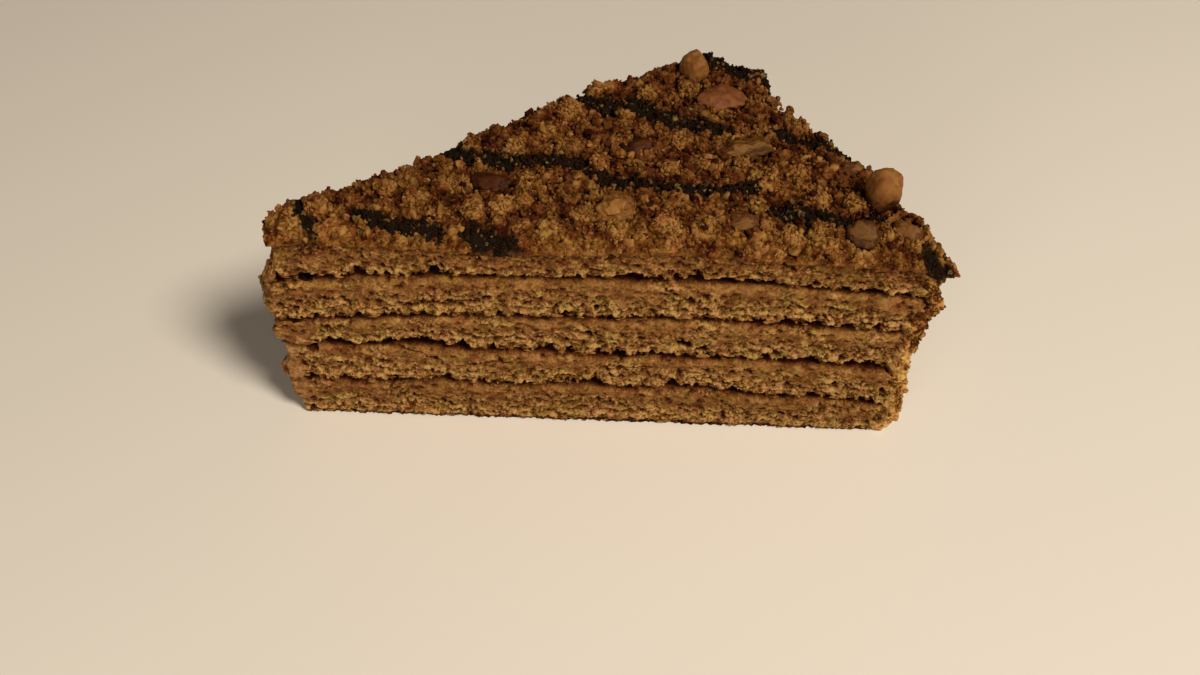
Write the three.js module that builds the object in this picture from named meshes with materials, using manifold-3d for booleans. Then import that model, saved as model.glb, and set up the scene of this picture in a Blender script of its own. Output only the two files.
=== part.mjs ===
// Slice of walnut honey cake: five thin sponge sheets with cream between them,
// an uneven crumb topping, crumb-coated outer rim and walnut pieces on top.
// Millimetres, +Z up. The long cut face looks towards -Y, the tip of the slice
// points to -X, the outer rim is at +X. The slice stands on its lowest sponge.
import * as THREE from 'three';
import * as BufferGeometryUtils from 'three/addons/utils/BufferGeometryUtils.js';
import Module from 'manifold-3d';

const wasm = await Module();
wasm.setup();

// ---------------------------------------------------------------- sizes (mm)
const FRONT_LENGTH = 111.0;          // long cut face, tip to rim
const TIP_WIDTH = 3.2;               // blunt tip
const BACK_SLOPE = 0.674;            // second cut: t = TIP_WIDTH + BACK_SLOPE * s
const APEX_S = 70.5;                 // where the second cut meets the rim
const RIM_BULGE = 4.0;               // how far the rim bows out between its corners
const RIM_SQUARE = 2.4;              // how evenly the bow is spread, 2 is a parabola
const RIM_COAT = 3.6;                // crumb and cream coat on the rim
const GAP = 0.3;                     // free space between neighbouring pieces
const CREVICE = 0.4;                 // open seam between one pair and the next
const SPONGE_SHARE = 0.54;           // sponge's share of each sponge + cream pair
const CREAM_TOP_DROP = 1.3;          // last cream lies this far under the visible top edge
const CREAM_TOP = 45.3;              // level of the last cream under the crumbs
const ORIGIN_S = 55.362;             // slice frame point that becomes x = 0
const ORIGIN_T = 25.759;             // slice frame point that becomes y = 0

// Seams under each pair: height at the ends, tilt along the face, arch in the
// middle, and long slow waves (amplitude, wavelength, phase).
const SEAMS = [
  { base: 0.0, tilt: 0.0, arch: 0.0, waves: [] },
  { base: 8.7, tilt: -1.0, arch: 2.2, waves: [[0.32, 60, 0.5], [0.5, 24, 1.06]] },
  { base: 19.6, tilt: -1.9, arch: 0.15, waves: [[0.32, 60, -0.6], [0.2, 24, 2.1]] },
  { base: 27.5, tilt: 2.2, arch: 2.4, waves: [[0.12, 60, -0.6]] },
  { base: 37.2, tilt: 1.25, arch: 2.6, waves: [[0.35, 60, -0.9]] },
  { base: 46.2 - CREAM_TOP_DROP, tilt: -0.16, arch: 0.67, waves: [[0.5, 60, 0.45]] },
];

// How far each piece's tip and front face stand out from the nominal slice.
const PIECES = [
  // name, pair, kind, tip at the front, tip behind, front face, back face
  { name: 'sponge_1', pair: 1, kind: 'sponge', tipFront: -0.4, tipBack: -0.5, front: 0.0, back: 0.1 },
  { name: 'cream_1', pair: 1, kind: 'cream', tipFront: -1.5, tipBack: -1.8, front: 0.1, back: 0.2 },
  { name: 'sponge_2', pair: 2, kind: 'sponge', tipFront: -1.3, tipBack: -1.9, front: 0.2, back: -0.2 },
  { name: 'cream_2', pair: 2, kind: 'cream', tipFront: -0.3, tipBack: -0.9, front: 0.1, back: 0.0 },
  { name: 'sponge_3', pair: 3, kind: 'sponge', tipFront: 0.1, tipBack: -0.4, front: -0.1, back: 0.2 },
  { name: 'cream_3', pair: 3, kind: 'cream', tipFront: -0.8, tipBack: -1.2, front: 0.2, back: 0.2 },
  { name: 'sponge_4', pair: 4, kind: 'sponge', tipFront: -0.4, tipBack: -2.4, front: 0.3, back: 0.1 },
  { name: 'cream_4', pair: 4, kind: 'cream', tipFront: 0.2, tipBack: -2.6, front: 0.2, back: 0.4 },
  { name: 'sponge_5', pair: 5, kind: 'sponge', tipFront: 1.9, tipBack: 1.4, front: 0.2, back: -0.1 },
  { name: 'cream_5', pair: 5, kind: 'cream', tipFront: 2.4, tipBack: 2.2, front: 0.0, back: 0.0 },
];

// Section of a cut edge: [share of the height, how far it draws in].
const EDGE = {
  sponge: [[0.0, 0.55], [0.28, 0.0], [1.0, 0.12]],
  cream: [[0.0, 0.12], [0.55, 0.0], [1.0, 0.85]],
};

// Rim coat: outward offset against height.
const RIM_PROFILE = [[0, 0.1], [6, 1.0], [13, 1.0], [22, -1.0], [33, -1.4], [37, 0.9], [41, 0.5], [45, 1.5]];

// Crumb topping.
const TOP_THICK = 2.0;               // mean height above the visible top edge
const TOP_CLUMP = 0.95;              // clump relief
const TOP_OVERHANG = 0.7;            // crumbs lean over the cut faces
const TOP_LUMPS = [                  // crumb lumps that hang over the outline
  { s: 111.0, t: 0.0, reach: 5.0, out: 1.6, drop: 1.6 },
  { s: 80.5, t: 44.5, reach: 9.5, out: 6.4, drop: 0.8 },
  { s: 72.0, t: 52.0, reach: 6.0, out: 1.2, drop: 0.3 },
  { s: 36.0, t: 27.5, reach: 13.0, out: 1.6, drop: 0.2 },
  { s: 3.0, t: 1.5, reach: 3.0, out: 0.5, drop: 0.2 },
];

// Walnut pieces: centre in the slice frame, half sizes, turn about z, tilt,
// how deep the groove between its lobes is, and where a broken face cuts it.
const WALNUTS = [
  { name: 'walnut_1', at: [101.2, 11.6], low: 0.9, half: [3.15, 3.0, 4.4], turn: 20, tilt: -8, groove: 0.16, flat: [0.25, -0.9, 0.25, 0.80], detail: 2 },
  { name: 'walnut_2', at: [97.7, 4.4], low: -0.3, half: [2.9, 2.5, 2.0], turn: -15, tilt: 10, groove: 0.05, flat: [-0.1, -0.55, 0.83, 0.62], detail: 2 },
  { name: 'walnut_3', at: [80.2, 24.0], low: -0.2, half: [4.6, 2.3, 1.9], turn: 12, tilt: 0, groove: 0.20, flat: [0.0, -0.7, 0.7, 0.78], detail: 2 },
  { name: 'walnut_4', at: [71.4, 46.6], low: 0.1, half: [2.6, 3.0, 2.7], turn: 30, tilt: 0, groove: 0.12, flat: [0.3, -0.7, 0.6, 0.8], detail: 2 },
  { name: 'walnut_5', at: [36.5, 13.3], low: -0.3, half: [3.4, 2.2, 1.6], turn: -8, tilt: 0, groove: 0.06, flat: [0.05, -0.25, 0.96, 0.7], detail: 2 },
  { name: 'walnut_6', at: [57.8, 7.8], low: -0.2, half: [3.4, 2.7, 2.1], turn: 25, tilt: 0, groove: 0.14, flat: [-0.3, -0.5, 0.8, 0.84], detail: 2 },
  { name: 'walnut_7', at: [78.6, 5.8], low: -0.3, half: [2.7, 2.3, 1.7], turn: -30, tilt: 0, groove: 0.12, flat: [0.2, -0.6, 0.75, 0.8], detail: 1 },
  { name: 'walnut_8', at: [76.2, 37.4], low: -0.2, half: [4.4, 3.6, 2.1], turn: 18, tilt: 0, groove: 0.18, flat: [-0.1, -0.35, 0.93, 0.72], detail: 2 },
  { name: 'walnut_9', at: [104.9, 5.2], low: -0.3, half: [2.8, 2.0, 1.8], turn: -35, tilt: 0, groove: 0.10, flat: [0.1, -0.5, 0.85, 0.75], detail: 1 },
  { name: 'walnut_10', at: [61.3, 23.0], low: -0.3, half: [2.6, 2.0, 1.6], turn: 40, tilt: 0, groove: 0.08, flat: [0.0, -0.3, 0.95, 0.72], detail: 1 },
  { name: 'walnut_11', at: [97.6, 19.4], low: -0.2, half: [2.3, 1.9, 1.8], turn: 0, tilt: 0, groove: 0.12, flat: [0.4, -0.4, 0.8, 0.8], detail: 1 },
];

// Sampling of the solids.
const N_FRONT = 19, N_RIM = 6, N_BACK = 14, N_TIP = 3;
const TOP_FINE = 3.5;
const COAT_STATIONS = 26, COAT_ROWS = 11;

// ------------------------------------------------------------ small helpers
const lerp = (a, b, u) => a + (b - a) * u;
const clamp = (v, a, b) => Math.min(b, Math.max(a, v));
const smooth = (u) => u * u * (3 - 2 * u);

function hash(i, j, k, seed) {
  let h = Math.imul(i, 374761393) ^ Math.imul(j, 668265263) ^ Math.imul(k, 2147483647) ^ Math.imul(seed, 1274126177);
  h = Math.imul(h ^ (h >>> 13), 1103515245);
  h ^= h >>> 16;
  return (h >>> 0) / 4294967296;
}
// Smooth noise in -1..1.
function noise(x, y, z, seed) {
  const i = Math.floor(x), j = Math.floor(y), k = Math.floor(z);
  const u = smooth(x - i), v = smooth(y - j), w = smooth(z - k);
  const c = (a, b, d) => hash(i + a, j + b, k + d, seed);
  const x0 = lerp(lerp(c(0, 0, 0), c(1, 0, 0), u), lerp(c(0, 1, 0), c(1, 1, 0), u), v);
  const x1 = lerp(lerp(c(0, 0, 1), c(1, 0, 1), u), lerp(c(0, 1, 1), c(1, 1, 1), u), v);
  return 2 * lerp(x0, x1, w) - 1;
}
function table(rows, x) {
  if (x <= rows[0][0]) return rows[0][1];
  for (let i = 1; i < rows.length; i++) {
    if (x <= rows[i][0]) {
      return lerp(rows[i - 1][1], rows[i][1], smooth((x - rows[i - 1][0]) / (rows[i][0] - rows[i - 1][0])));
    }
  }
  return rows[rows.length - 1][1];
}

// ------------------------------------------------------------ slice geometry
const RIM_FRONT = [FRONT_LENGTH, 0];
const RIM_APEX = [APEX_S, TIP_WIDTH + BACK_SLOPE * APEX_S];
const CAKE_AXIS = [-TIP_WIDTH / BACK_SLOPE, 0];    // where the two cuts would meet

// Height of seam k over the plan point (s, t).
function seam(k, s, t) {
  const f = SEAMS[k];
  const u = clamp(s / FRONT_LENGTH, 0, 1);
  let z = f.base + f.tilt * (u - 0.5) + f.arch * Math.sin(Math.PI * u);
  for (const [amp, length, phase] of f.waves) {
    z += amp * Math.sin(2 * Math.PI * (s + 0.35 * t) / length + phase);
  }
  return z;
}

function rimBow(u) {
  return RIM_BULGE * (1 - Math.pow(Math.abs(2 * clamp(u, 0, 1) - 1), RIM_SQUARE));
}
// Point of the rim, u = 0 at the front corner and 1 at the apex, moved along
// the ray from the cake's axis, so both ends stay in the cut faces.
function rimPoint(u, off) {
  const dx = RIM_APEX[0] - RIM_FRONT[0], dy = RIM_APEX[1] - RIM_FRONT[1];
  const len = Math.hypot(dx, dy);
  const bow = rimBow(u);
  const x = RIM_FRONT[0] + u * dx + bow * dy / len;
  const y = RIM_FRONT[1] + u * dy - bow * dx / len;
  const rx = x - CAKE_AXIS[0], ry = y - CAKE_AXIS[1], r = Math.hypot(rx, ry);
  return [x + off * rx / r, y + off * ry / r];
}

// Plan outline, anticlockwise, with the outward direction at each point.
// rimOff moves the rim, tipFront and tipBack move the tip, front and back
// push the cut faces out; wobble adds unevenness to the cut faces.
function outline(o) {
  const pts = [];
  const nF = o.nFront, nR = o.nRim, nB = o.nBack, nT = o.nTip;
  const f0 = [o.tipFront, 0], f1 = rimPoint(0, o.rimOff);
  const b0 = rimPoint(1, o.rimOff);
  const b1 = [o.tipBack, TIP_WIDTH + BACK_SLOPE * Math.max(o.tipBack, 0) * 0.6];
  const nb = [-BACK_SLOPE, 1], nbl = Math.hypot(...nb);
  nb[0] /= nbl; nb[1] /= nbl;
  for (let i = 0; i < nF; i++) {
    const u = i / nF, s = lerp(f0[0], f1[0], u);
    const w = o.wobble * noise(s / 7.5, o.seed * 3.1, 0, 11);
    pts.push({ s, t: -(o.front + w * (i ? 1 : 0.3)), n: i ? [0, -1] : [-0.7, -0.7], cut: 1 });
  }
  for (let i = 0; i < nR; i++) {
    const u = i / nR, p = rimPoint(u, o.rimOff);
    const rx = p[0] - CAKE_AXIS[0], ry = p[1] - CAKE_AXIS[1], r = Math.hypot(rx, ry);
    pts.push({ s: p[0], t: p[1] - (i ? 0 : o.front), n: i ? [rx / r, ry / r] : [0.3, -0.95], cut: i ? 0 : 1 });
  }
  for (let i = 0; i < nB; i++) {
    const u = i / nB, s = lerp(b0[0], b1[0], u), t = lerp(b0[1], b1[1], u);
    const w = o.back + o.wobble * noise(s / 7.5, o.seed * 3.1, 5, 12);
    pts.push({ s: s + nb[0] * w, t: t + nb[1] * w, n: i ? nb : [0.2, 0.98], cut: 1 });
  }
  for (let i = 0; i < nT; i++) {
    const u = i / nT;
    const bow = 0.5 * Math.sin(Math.PI * u);
    pts.push({ s: lerp(b1[0], f0[0], smooth(u)) - bow, t: lerp(b1[1], -o.front, u), n: [-1, i ? 0 : 0.5], cut: 1 });
  }
  return pts;
}

const CENTRE = [62, 17.5];

// Points just inside the outline that every sheet shares, so that the
// surfaces of neighbouring sheets run parallel.
const CORE = outline({
  rimOff: -RIM_COAT - GAP, tipFront: 0, tipBack: 0, front: 0, back: 0, wobble: 0, seed: 0,
  nFront: N_FRONT, nRim: N_RIM, nBack: N_BACK, nTip: N_TIP,
}).map((p) => [lerp(CENTRE[0], p.s, 0.88), lerp(CENTRE[1], p.t, 0.88)]);

// Closed body over a plan outline: wall rows, then the shared inner ring and
// a middle point on each side. zLow and zHigh give the two surfaces.
function sheetBody(rows, zLow, zHigh) {
  const pos = [], idx = [];
  const n = rows[0].length;
  for (const row of rows) for (const p of row) pos.push(p[0], p[1], p[2]);
  for (let r = 0; r + 1 < rows.length; r++) {
    for (let i = 0; i < n; i++) {
      const j = (i + 1) % n, a = r * n + i, b = r * n + j, c = a + n, d = b + n;
      idx.push(a, b, d, a, d, c);
    }
  }
  const cap = (surface, up) => {
    const start = pos.length / 3, base = (up ? rows.length - 1 : 0) * n;
    for (const [s, t] of CORE) pos.push(s, t, surface(s, t));
    const mid = pos.length / 3;
    pos.push(CENTRE[0], CENTRE[1], surface(...CENTRE));
    for (let i = 0; i < n; i++) {
      const j = (i + 1) % n, a = base + i, b = base + j, c = start + i, d = start + j;
      if (up) idx.push(a, b, d, a, d, c, c, d, mid);
      else idx.push(b, a, d, d, a, c, d, c, mid);
    }
  };
  cap(zLow, false);
  cap(zHigh, true);
  return geometryFrom(pos, idx);
}

function geometryFrom(pos, idx) {
  const g = new THREE.BufferGeometry();
  g.setAttribute('position', new THREE.Float32BufferAttribute(pos, 3));
  g.setIndex(idx);
  return g;
}

// One sponge or cream sheet.
function layerBody(piece) {
  const k = piece.pair;
  const seed = PIECES.indexOf(piece) + 1;
  const line = outline({
    rimOff: -RIM_COAT - GAP, tipFront: piece.tipFront, tipBack: piece.tipBack,
    front: piece.front, back: piece.back, wobble: piece.kind === 'sponge' ? 0.35 : 0.25, seed,
    nFront: N_FRONT, nRim: N_RIM, nBack: N_BACK, nTip: N_TIP,
  });
  const low = (s, t) => seam(k - 1, s, t);
  const high = (s, t) => seam(k, s, t);
  const split = (s, t) => lerp(low(s, t), high(s, t), SPONGE_SHARE);
  const isSponge = piece.kind === 'sponge';
  const zLow = (s, t) => (isSponge ? (k === 1 ? 0 : low(s, t) + CREVICE / 2) : split(s, t) + GAP / 2);
  const zHigh = (s, t) => (isSponge ? split(s, t) - GAP / 2 : high(s, t) - (k < 5 ? CREVICE / 2 : 0));
  const rows = EDGE[piece.kind].map(([share, inset], r) => line.map((p, i) => {
    const jag = isSponge && r === 0 && p.cut ? 0.25 * noise(p.s / 2.3, p.t / 2.3, seed, 21) : 0;
    const draw = p.cut ? inset + jag : 0.0;
    const s = p.s - p.n[0] * draw, t = p.t - p.n[1] * draw;
    return [s, t, lerp(zLow(s, t), zHigh(s, t), share)];
  }));
  return sheetBody(rows, zLow, piece.name === 'cream_5' ? () => CREAM_TOP : zHigh);
}

// Crumb and cream coat on the rim, a strip that follows the rim's arc.
function rimCoatBody() {
  const pos = [], idx = [];
  const rowsPer = COAT_ROWS + 1 + 3;
  for (let a = 0; a <= COAT_STATIONS; a++) {
    const u = a / COAT_STATIONS;
    const inner = rimPoint(u, -RIM_COAT), rough = rimPoint(u, 0);
    const zTop = Math.min(seam(5, rough[0], rough[1]), CREAM_TOP) - 0.1;
    const section = [];
    for (let b = 0; b <= COAT_ROWS; b++) {
      const z = lerp(0.4, zTop, b / COAT_ROWS);
      const off = table(RIM_PROFILE, z) + 0.75 * noise(u * 17, z / 5.2, 0, 31) + 0.45 * noise(u * 33, z / 2.6, 0, 32);
      section.push([...rimPoint(u, off), z]);
    }
    for (const share of [1, 0.5, 0]) section.push([inner[0], inner[1], lerp(0.4, zTop, share)]);
    for (const p of section) pos.push(...p);
  }
  const m = rowsPer;
  for (let a = 0; a < COAT_STATIONS; a++) {
    for (let b = 0; b < m; b++) {
      const c = (b + 1) % m, p = a * m + b, q = a * m + c;
      idx.push(p, p + m, q + m, p, q + m, q);
    }
  }
  const flat = (a) => {
    const contour = [];
    for (let b = 0; b < m; b++) {
      const o = 3 * (a * m + b);
      const du = Math.hypot(pos[o] - CAKE_AXIS[0], pos[o + 1] - CAKE_AXIS[1]);
      contour.push(new THREE.Vector2(du, pos[o + 2]));
    }
    return THREE.ShapeUtils.triangulateShape(contour, []);
  };
  for (const [p, q, r] of flat(0)) idx.push(p, q, r);
  const e = COAT_STATIONS * m;
  for (const [p, q, r] of flat(COAT_STATIONS)) idx.push(e + p, e + r, e + q);
  return geometryFrom(pos, idx);
}

// How far the plan point (s, t) lies inside the slice's nearest edge.
function inside(s, t) {
  const back = (TIP_WIDTH + BACK_SLOPE * s - t) / Math.hypot(1, BACK_SLOPE);
  const dx = RIM_APEX[0] - RIM_FRONT[0], dy = RIM_APEX[1] - RIM_FRONT[1], len = Math.hypot(dx, dy);
  const u = ((s - RIM_FRONT[0]) * dx + (t - RIM_FRONT[1]) * dy) / (len * len);
  const rim = rimBow(u) - ((s - RIM_FRONT[0]) * dy - (t - RIM_FRONT[1]) * dx) / len;
  return Math.min(t, back, rim);
}

// Height of the crumb topping's uneven upper surface.
function crumbTop(s, t) {
  const clump = 0.5 * noise(s / 5.2, t / 5.2, 0, 41) + 0.7 * noise(s / 2.7, t / 2.7, 0, 42);
  const rise = smooth(clamp((inside(s, t) + 1.5) / 6, 0, 1));
  return Math.max(seam(5, s, t), CREAM_TOP) + CREAM_TOP_DROP + TOP_THICK * (0.25 + 0.75 * rise) + TOP_CLUMP * clump;
}

// Crumb topping: a heap out to its uneven outline. A bumpy relief is cut to
// a block whose walls bulge over the cut faces and the rim.
function toppingWalls() {
  const line = outline({
    rimOff: 0.7, tipFront: 2.2, tipBack: 2.0, front: TOP_OVERHANG * 0.6, back: TOP_OVERHANG,
    wobble: 0.8, seed: 23, nFront: 28, nRim: 17, nBack: 20, nTip: 3,
  });
  const rim = line.map((p) => {
    let out = 0.55 * noise(p.s / 3.1, p.t / 3.1, 0, 43), drop = 0;
    for (const l of TOP_LUMPS) {
      const d = Math.hypot(p.s - l.s, p.t - l.t) / l.reach;
      if (d < 1) { out += l.out * smooth(1 - d); drop += l.drop * smooth(1 - d); }
    }
    return { s: p.s + p.n[0] * out, t: p.t + p.n[1] * out, drop };
  });
  const n = line.length, pos = [], idx = [];
  const floor = (s, t) => seam(5, s, t) + GAP + 0.05;
  const row = (place) => line.map((p, i) => {
    const [draw, z] = place(rim[i], i);
    pos.push(rim[i].s - p.n[0] * draw, rim[i].t - p.n[1] * draw, z);
    return pos.length / 3 - 1;
  });
  const jag = (p, k) => 0.3 * noise(p.s / 1.9, p.t / 1.9, k, 44);
  const rows = [
    row((p) => [1.1, floor(p.s, p.t)]),
    row((p) => [-0.35 + jag(p, 3), floor(p.s, p.t) + 1.0 - 0.7 * p.drop]),
    row((p) => [0.35 + jag(p, 7), floor(p.s, p.t) + 2.3 - 0.3 * p.drop]),
    row((p) => [4.2, floor(p.s, p.t) + 8]),
  ];
  for (let r = 0; r + 1 < rows.length; r++) {
    for (let i = 0; i < n; i++) {
      const j = (i + 1) % n;
      idx.push(rows[r][i], rows[r][j], rows[r + 1][j], rows[r][i], rows[r + 1][j], rows[r + 1][i]);
    }
  }
  const inner = [];
  for (let i = 0; i < n; i++) {
    const f = rows[0][i];
    inner.push(pos.length / 3);
    pos.push(lerp(CENTRE[0], pos[3 * f], 0.88), lerp(CENTRE[1], pos[3 * f + 1], 0.88), CREAM_TOP + GAP + 0.05);
  }
  const low = pos.length / 3;
  pos.push(CENTRE[0], CENTRE[1], CREAM_TOP + GAP + 0.05);
  const lid = pos.length / 3;
  pos.push(CENTRE[0], CENTRE[1], CREAM_TOP + 9);
  for (let i = 0; i < n; i++) {
    const j = (i + 1) % n;
    idx.push(rows[0][j], rows[0][i], inner[j], inner[j], rows[0][i], inner[i], inner[j], inner[i], low);
    idx.push(rows[3][i], rows[3][j], lid);
  }
  return geometryFrom(pos, idx);
}
function toppingRelief() {
  const s0 = -4, s1 = 118, t0 = -5, t1 = 58;
  const nx = Math.round((s1 - s0) / TOP_FINE), ny = Math.round((t1 - t0) / TOP_FINE);
  const pos = [], idx = [];
  for (let b = 0; b <= ny; b++) {
    for (let a = 0; a <= nx; a++) {
      const s = lerp(s0, s1, (a + (b % 2 ? 0.25 : -0.25)) / nx), t = lerp(t0, t1, b / ny);
      pos.push(s, t, crumbTop(s, t));
    }
  }
  const at = (a, b) => b * (nx + 1) + a;
  for (let b = 0; b < ny; b++) {
    for (let a = 0; a < nx; a++) {
      const p = at(a, b), q = at(a + 1, b), r = at(a, b + 1), v = at(a + 1, b + 1);
      if (b % 2) idx.push(p, q, r, q, v, r); else idx.push(p, v, r, p, q, v);
    }
  }
  // Skirt and base well below the heap.
  const loop = [];
  for (let a = 0; a < nx; a++) loop.push(at(a, 0));
  for (let b = 0; b < ny; b++) loop.push(at(nx, b));
  for (let a = nx; a > 0; a--) loop.push(at(a, ny));
  for (let b = ny; b > 0; b--) loop.push(at(0, b));
  const foot = loop.map((p) => { pos.push(pos[3 * p], pos[3 * p + 1], CREAM_TOP - 6); return pos.length / 3 - 1; });
  const mid = pos.length / 3;
  pos.push(CENTRE[0], CENTRE[1], CREAM_TOP - 6);
  for (let i = 0; i < loop.length; i++) {
    const j = (i + 1) % loop.length;
    idx.push(foot[i], foot[j], loop[j], foot[i], loop[j], loop[i], foot[j], foot[i], mid);
  }
  return geometryFrom(pos, idx);
}

// A broken piece of walnut kernel: lobes, a groove, wrinkles and one flat
// broken face. grow swells it evenly, for the pocket that it sits in.
function walnutGeometry(w, grow) {
  const seed = 60 + WALNUTS.indexOf(w);
  let g = new THREE.IcosahedronGeometry(1, w.detail);
  g.deleteAttribute('normal');
  g.deleteAttribute('uv');
  g = BufferGeometryUtils.mergeVertices(g, 1e-4);
  const p = g.attributes.position, v = new THREE.Vector3();
  const flat = new THREE.Vector3(w.flat[0], w.flat[1], w.flat[2]).normalize();
  for (let i = 0; i < p.count; i++) {
    v.fromBufferAttribute(p, i).normalize();
    let r = 1 + 0.13 * noise(v.x * 1.6 + 5, v.y * 1.6 + 5, v.z * 1.6 + 5, seed)
      + 0.08 * noise(v.x * 3.4 + 9, v.y * 3.4 + 9, v.z * 3.4 + 9, seed + 20);
    r -= w.groove * Math.exp(-Math.pow(v.x * 2.6, 2)) * smooth(clamp(v.z * 0.8 + 0.5, 0, 1));
    v.multiplyScalar(r);
    const over = v.dot(flat) - w.flat[3];
    if (over > 0) v.addScaledVector(flat, -0.86 * over);
    v.set(v.x * w.half[0], v.y * w.half[1], v.z * w.half[2]);
    p.setXYZ(i, v.x, v.y, v.z);
  }
  g.applyMatrix4(new THREE.Matrix4().makeRotationX(THREE.MathUtils.degToRad(w.tilt)));
  g.applyMatrix4(new THREE.Matrix4().makeRotationZ(THREE.MathUtils.degToRad(w.turn)));
  g.computeBoundingBox();
  const base = Math.max(seam(5, w.at[0], w.at[1]), CREAM_TOP) + GAP + 0.75 + w.low;
  g.translate(w.at[0], w.at[1], base - g.boundingBox.min.z);
  if (grow > 0) {
    g.computeVertexNormals();
    const q = g.attributes.normal;
    for (let i = 0; i < p.count; i++) {
      p.setXYZ(i, p.getX(i) + grow * q.getX(i), p.getY(i) + grow * q.getY(i), p.getZ(i) + grow * q.getZ(i));
    }
    g.deleteAttribute('normal');
  }
  return g;
}

// ------------------------------------------------------------ booleans
function toManifold(g) {
  const m = BufferGeometryUtils.mergeVertices(g, 1e-5);
  return new wasm.Manifold(new wasm.Mesh({
    numProp: 3,
    vertProperties: new Float32Array(m.attributes.position.array),
    triVerts: new Uint32Array(m.index.array),
  }));
}
function fromManifold(m) {
  const mesh = m.getMesh();
  return geometryFrom(Array.from(mesh.vertProperties), Array.from(mesh.triVerts));
}

// ------------------------------------------------------------ assembly
const COLOURS = {
  sponge: 0x9a6a33,
  cream: 0xb08354,
  crumb: 0xa56f35,
  coat: 0xa8743a,
  walnut: 0xb98a55,
};
const cake = new THREE.Group();
const sliceFrame = new THREE.Group();
sliceFrame.position.set(-ORIGIN_S, -ORIGIN_T, 0);
cake.add(sliceFrame);

function addPiece(name, geometry, colour, roughness) {
  geometry.computeVertexNormals();
  const material = new THREE.MeshStandardMaterial({ color: colour, roughness, metalness: 0 });
  const mesh = new THREE.Mesh(geometry, material);
  mesh.name = name;
  sliceFrame.add(mesh);
}

for (const piece of PIECES) {
  addPiece(piece.name, layerBody(piece), COLOURS[piece.kind], piece.kind === 'sponge' ? 0.95 : 0.6);
}
addPiece('rim_coat', rimCoatBody(), COLOURS.coat, 0.9);

let topping = toManifold(toppingWalls()).intersect(toManifold(toppingRelief()));
for (const w of WALNUTS) {
  addPiece(w.name, walnutGeometry(w, 0), COLOURS.walnut, 0.55);
  topping = topping.subtract(toManifold(walnutGeometry(w, GAP + 0.05)));
}
addPiece('crumb_topping', fromManifold(topping), COLOURS.crumb, 0.95);

export default cake;
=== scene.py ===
import math

import bmesh
import bpy
import numpy as np
from mathutils import Matrix, Vector


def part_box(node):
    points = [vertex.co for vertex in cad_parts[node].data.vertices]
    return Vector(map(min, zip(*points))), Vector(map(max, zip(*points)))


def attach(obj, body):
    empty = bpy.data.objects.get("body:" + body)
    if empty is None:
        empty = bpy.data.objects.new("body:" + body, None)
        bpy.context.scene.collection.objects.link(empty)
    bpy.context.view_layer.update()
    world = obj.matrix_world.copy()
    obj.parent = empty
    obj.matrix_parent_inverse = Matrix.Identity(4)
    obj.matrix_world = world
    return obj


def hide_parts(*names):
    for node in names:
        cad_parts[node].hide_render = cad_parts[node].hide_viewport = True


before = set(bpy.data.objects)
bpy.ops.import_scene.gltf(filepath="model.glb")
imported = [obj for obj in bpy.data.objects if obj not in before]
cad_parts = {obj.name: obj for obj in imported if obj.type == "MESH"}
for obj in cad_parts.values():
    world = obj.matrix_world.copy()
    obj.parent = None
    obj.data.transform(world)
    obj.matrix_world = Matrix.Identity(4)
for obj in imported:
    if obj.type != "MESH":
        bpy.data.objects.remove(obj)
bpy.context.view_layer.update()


# --------------------------------------------------------------------------
# Sizes in millimetres, in the slice's own frame: s along the long cut face
# from the tip, t backwards from it, z up. They repeat the CAD model's.
# --------------------------------------------------------------------------
FRONT_LENGTH = 111.0
TIP_WIDTH = 3.2
BACK_SLOPE = 0.674
APEX_S = 70.5
RIM_BULGE = 4.0
RIM_SQUARE = 2.4
RIM_COAT = 3.6
CREAM_TOP_DROP = 1.3
CREAM_TOP = 45.3
ORIGIN_S = 55.362
ORIGIN_T = 25.759
SEAMS = [
    (0.0, 0.0, 0.0, []),
    (8.7, -1.0, 2.2, [(0.32, 60, 0.5), (0.5, 24, 1.06)]),
    (19.6, -1.9, 0.15, [(0.32, 60, -0.6), (0.2, 24, 2.1)]),
    (27.5, 2.2, 2.4, [(0.12, 60, -0.6)]),
    (37.2, 1.25, 2.6, [(0.35, 60, -0.9)]),
    (46.2 - CREAM_TOP_DROP, -0.16, 0.67, [(0.5, 60, 0.45)]),
]
# tip at the front, tip behind, front face, back face
OFFSETS = {
    ("sponge", 1): (-0.4, -0.5, 0.0, 0.1),
    ("cream", 1): (-1.5, -1.8, 0.1, 0.2),
    ("sponge", 2): (-1.3, -1.9, 0.2, -0.2),
    ("cream", 2): (-0.3, -0.9, 0.1, 0.0),
    ("sponge", 3): (0.1, -0.4, -0.1, 0.2),
    ("cream", 3): (-0.8, -1.2, 0.2, 0.2),
    ("sponge", 4): (-0.4, -2.4, 0.3, 0.1),
    ("cream", 4): (0.2, -2.6, 0.2, 0.4),
    ("sponge", 5): (1.9, 1.4, 0.2, -0.1),
    ("cream", 5): (2.4, 2.2, 0.0, 0.0),
}
RIM_PROFILE = [(0, 0.1), (5, 2.1), (13, 1.6), (20, 0.5), (27, 0.4), (32, 0.9), (36, 2.0), (41, 0.7), (45, 1.5)]
TOP_LUMPS = [
    (111.0, 0.0, 4.6, 1.6, 1.6),
    (82.0, 44.5, 7.5, 5.4, 0.5),
    (74.0, 51.0, 6.0, 1.8, 0.3),
    (36.0, 27.5, 13.0, 1.6, 0.2),
    (3.0, 1.5, 3.0, 0.5, 0.2),
]
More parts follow.
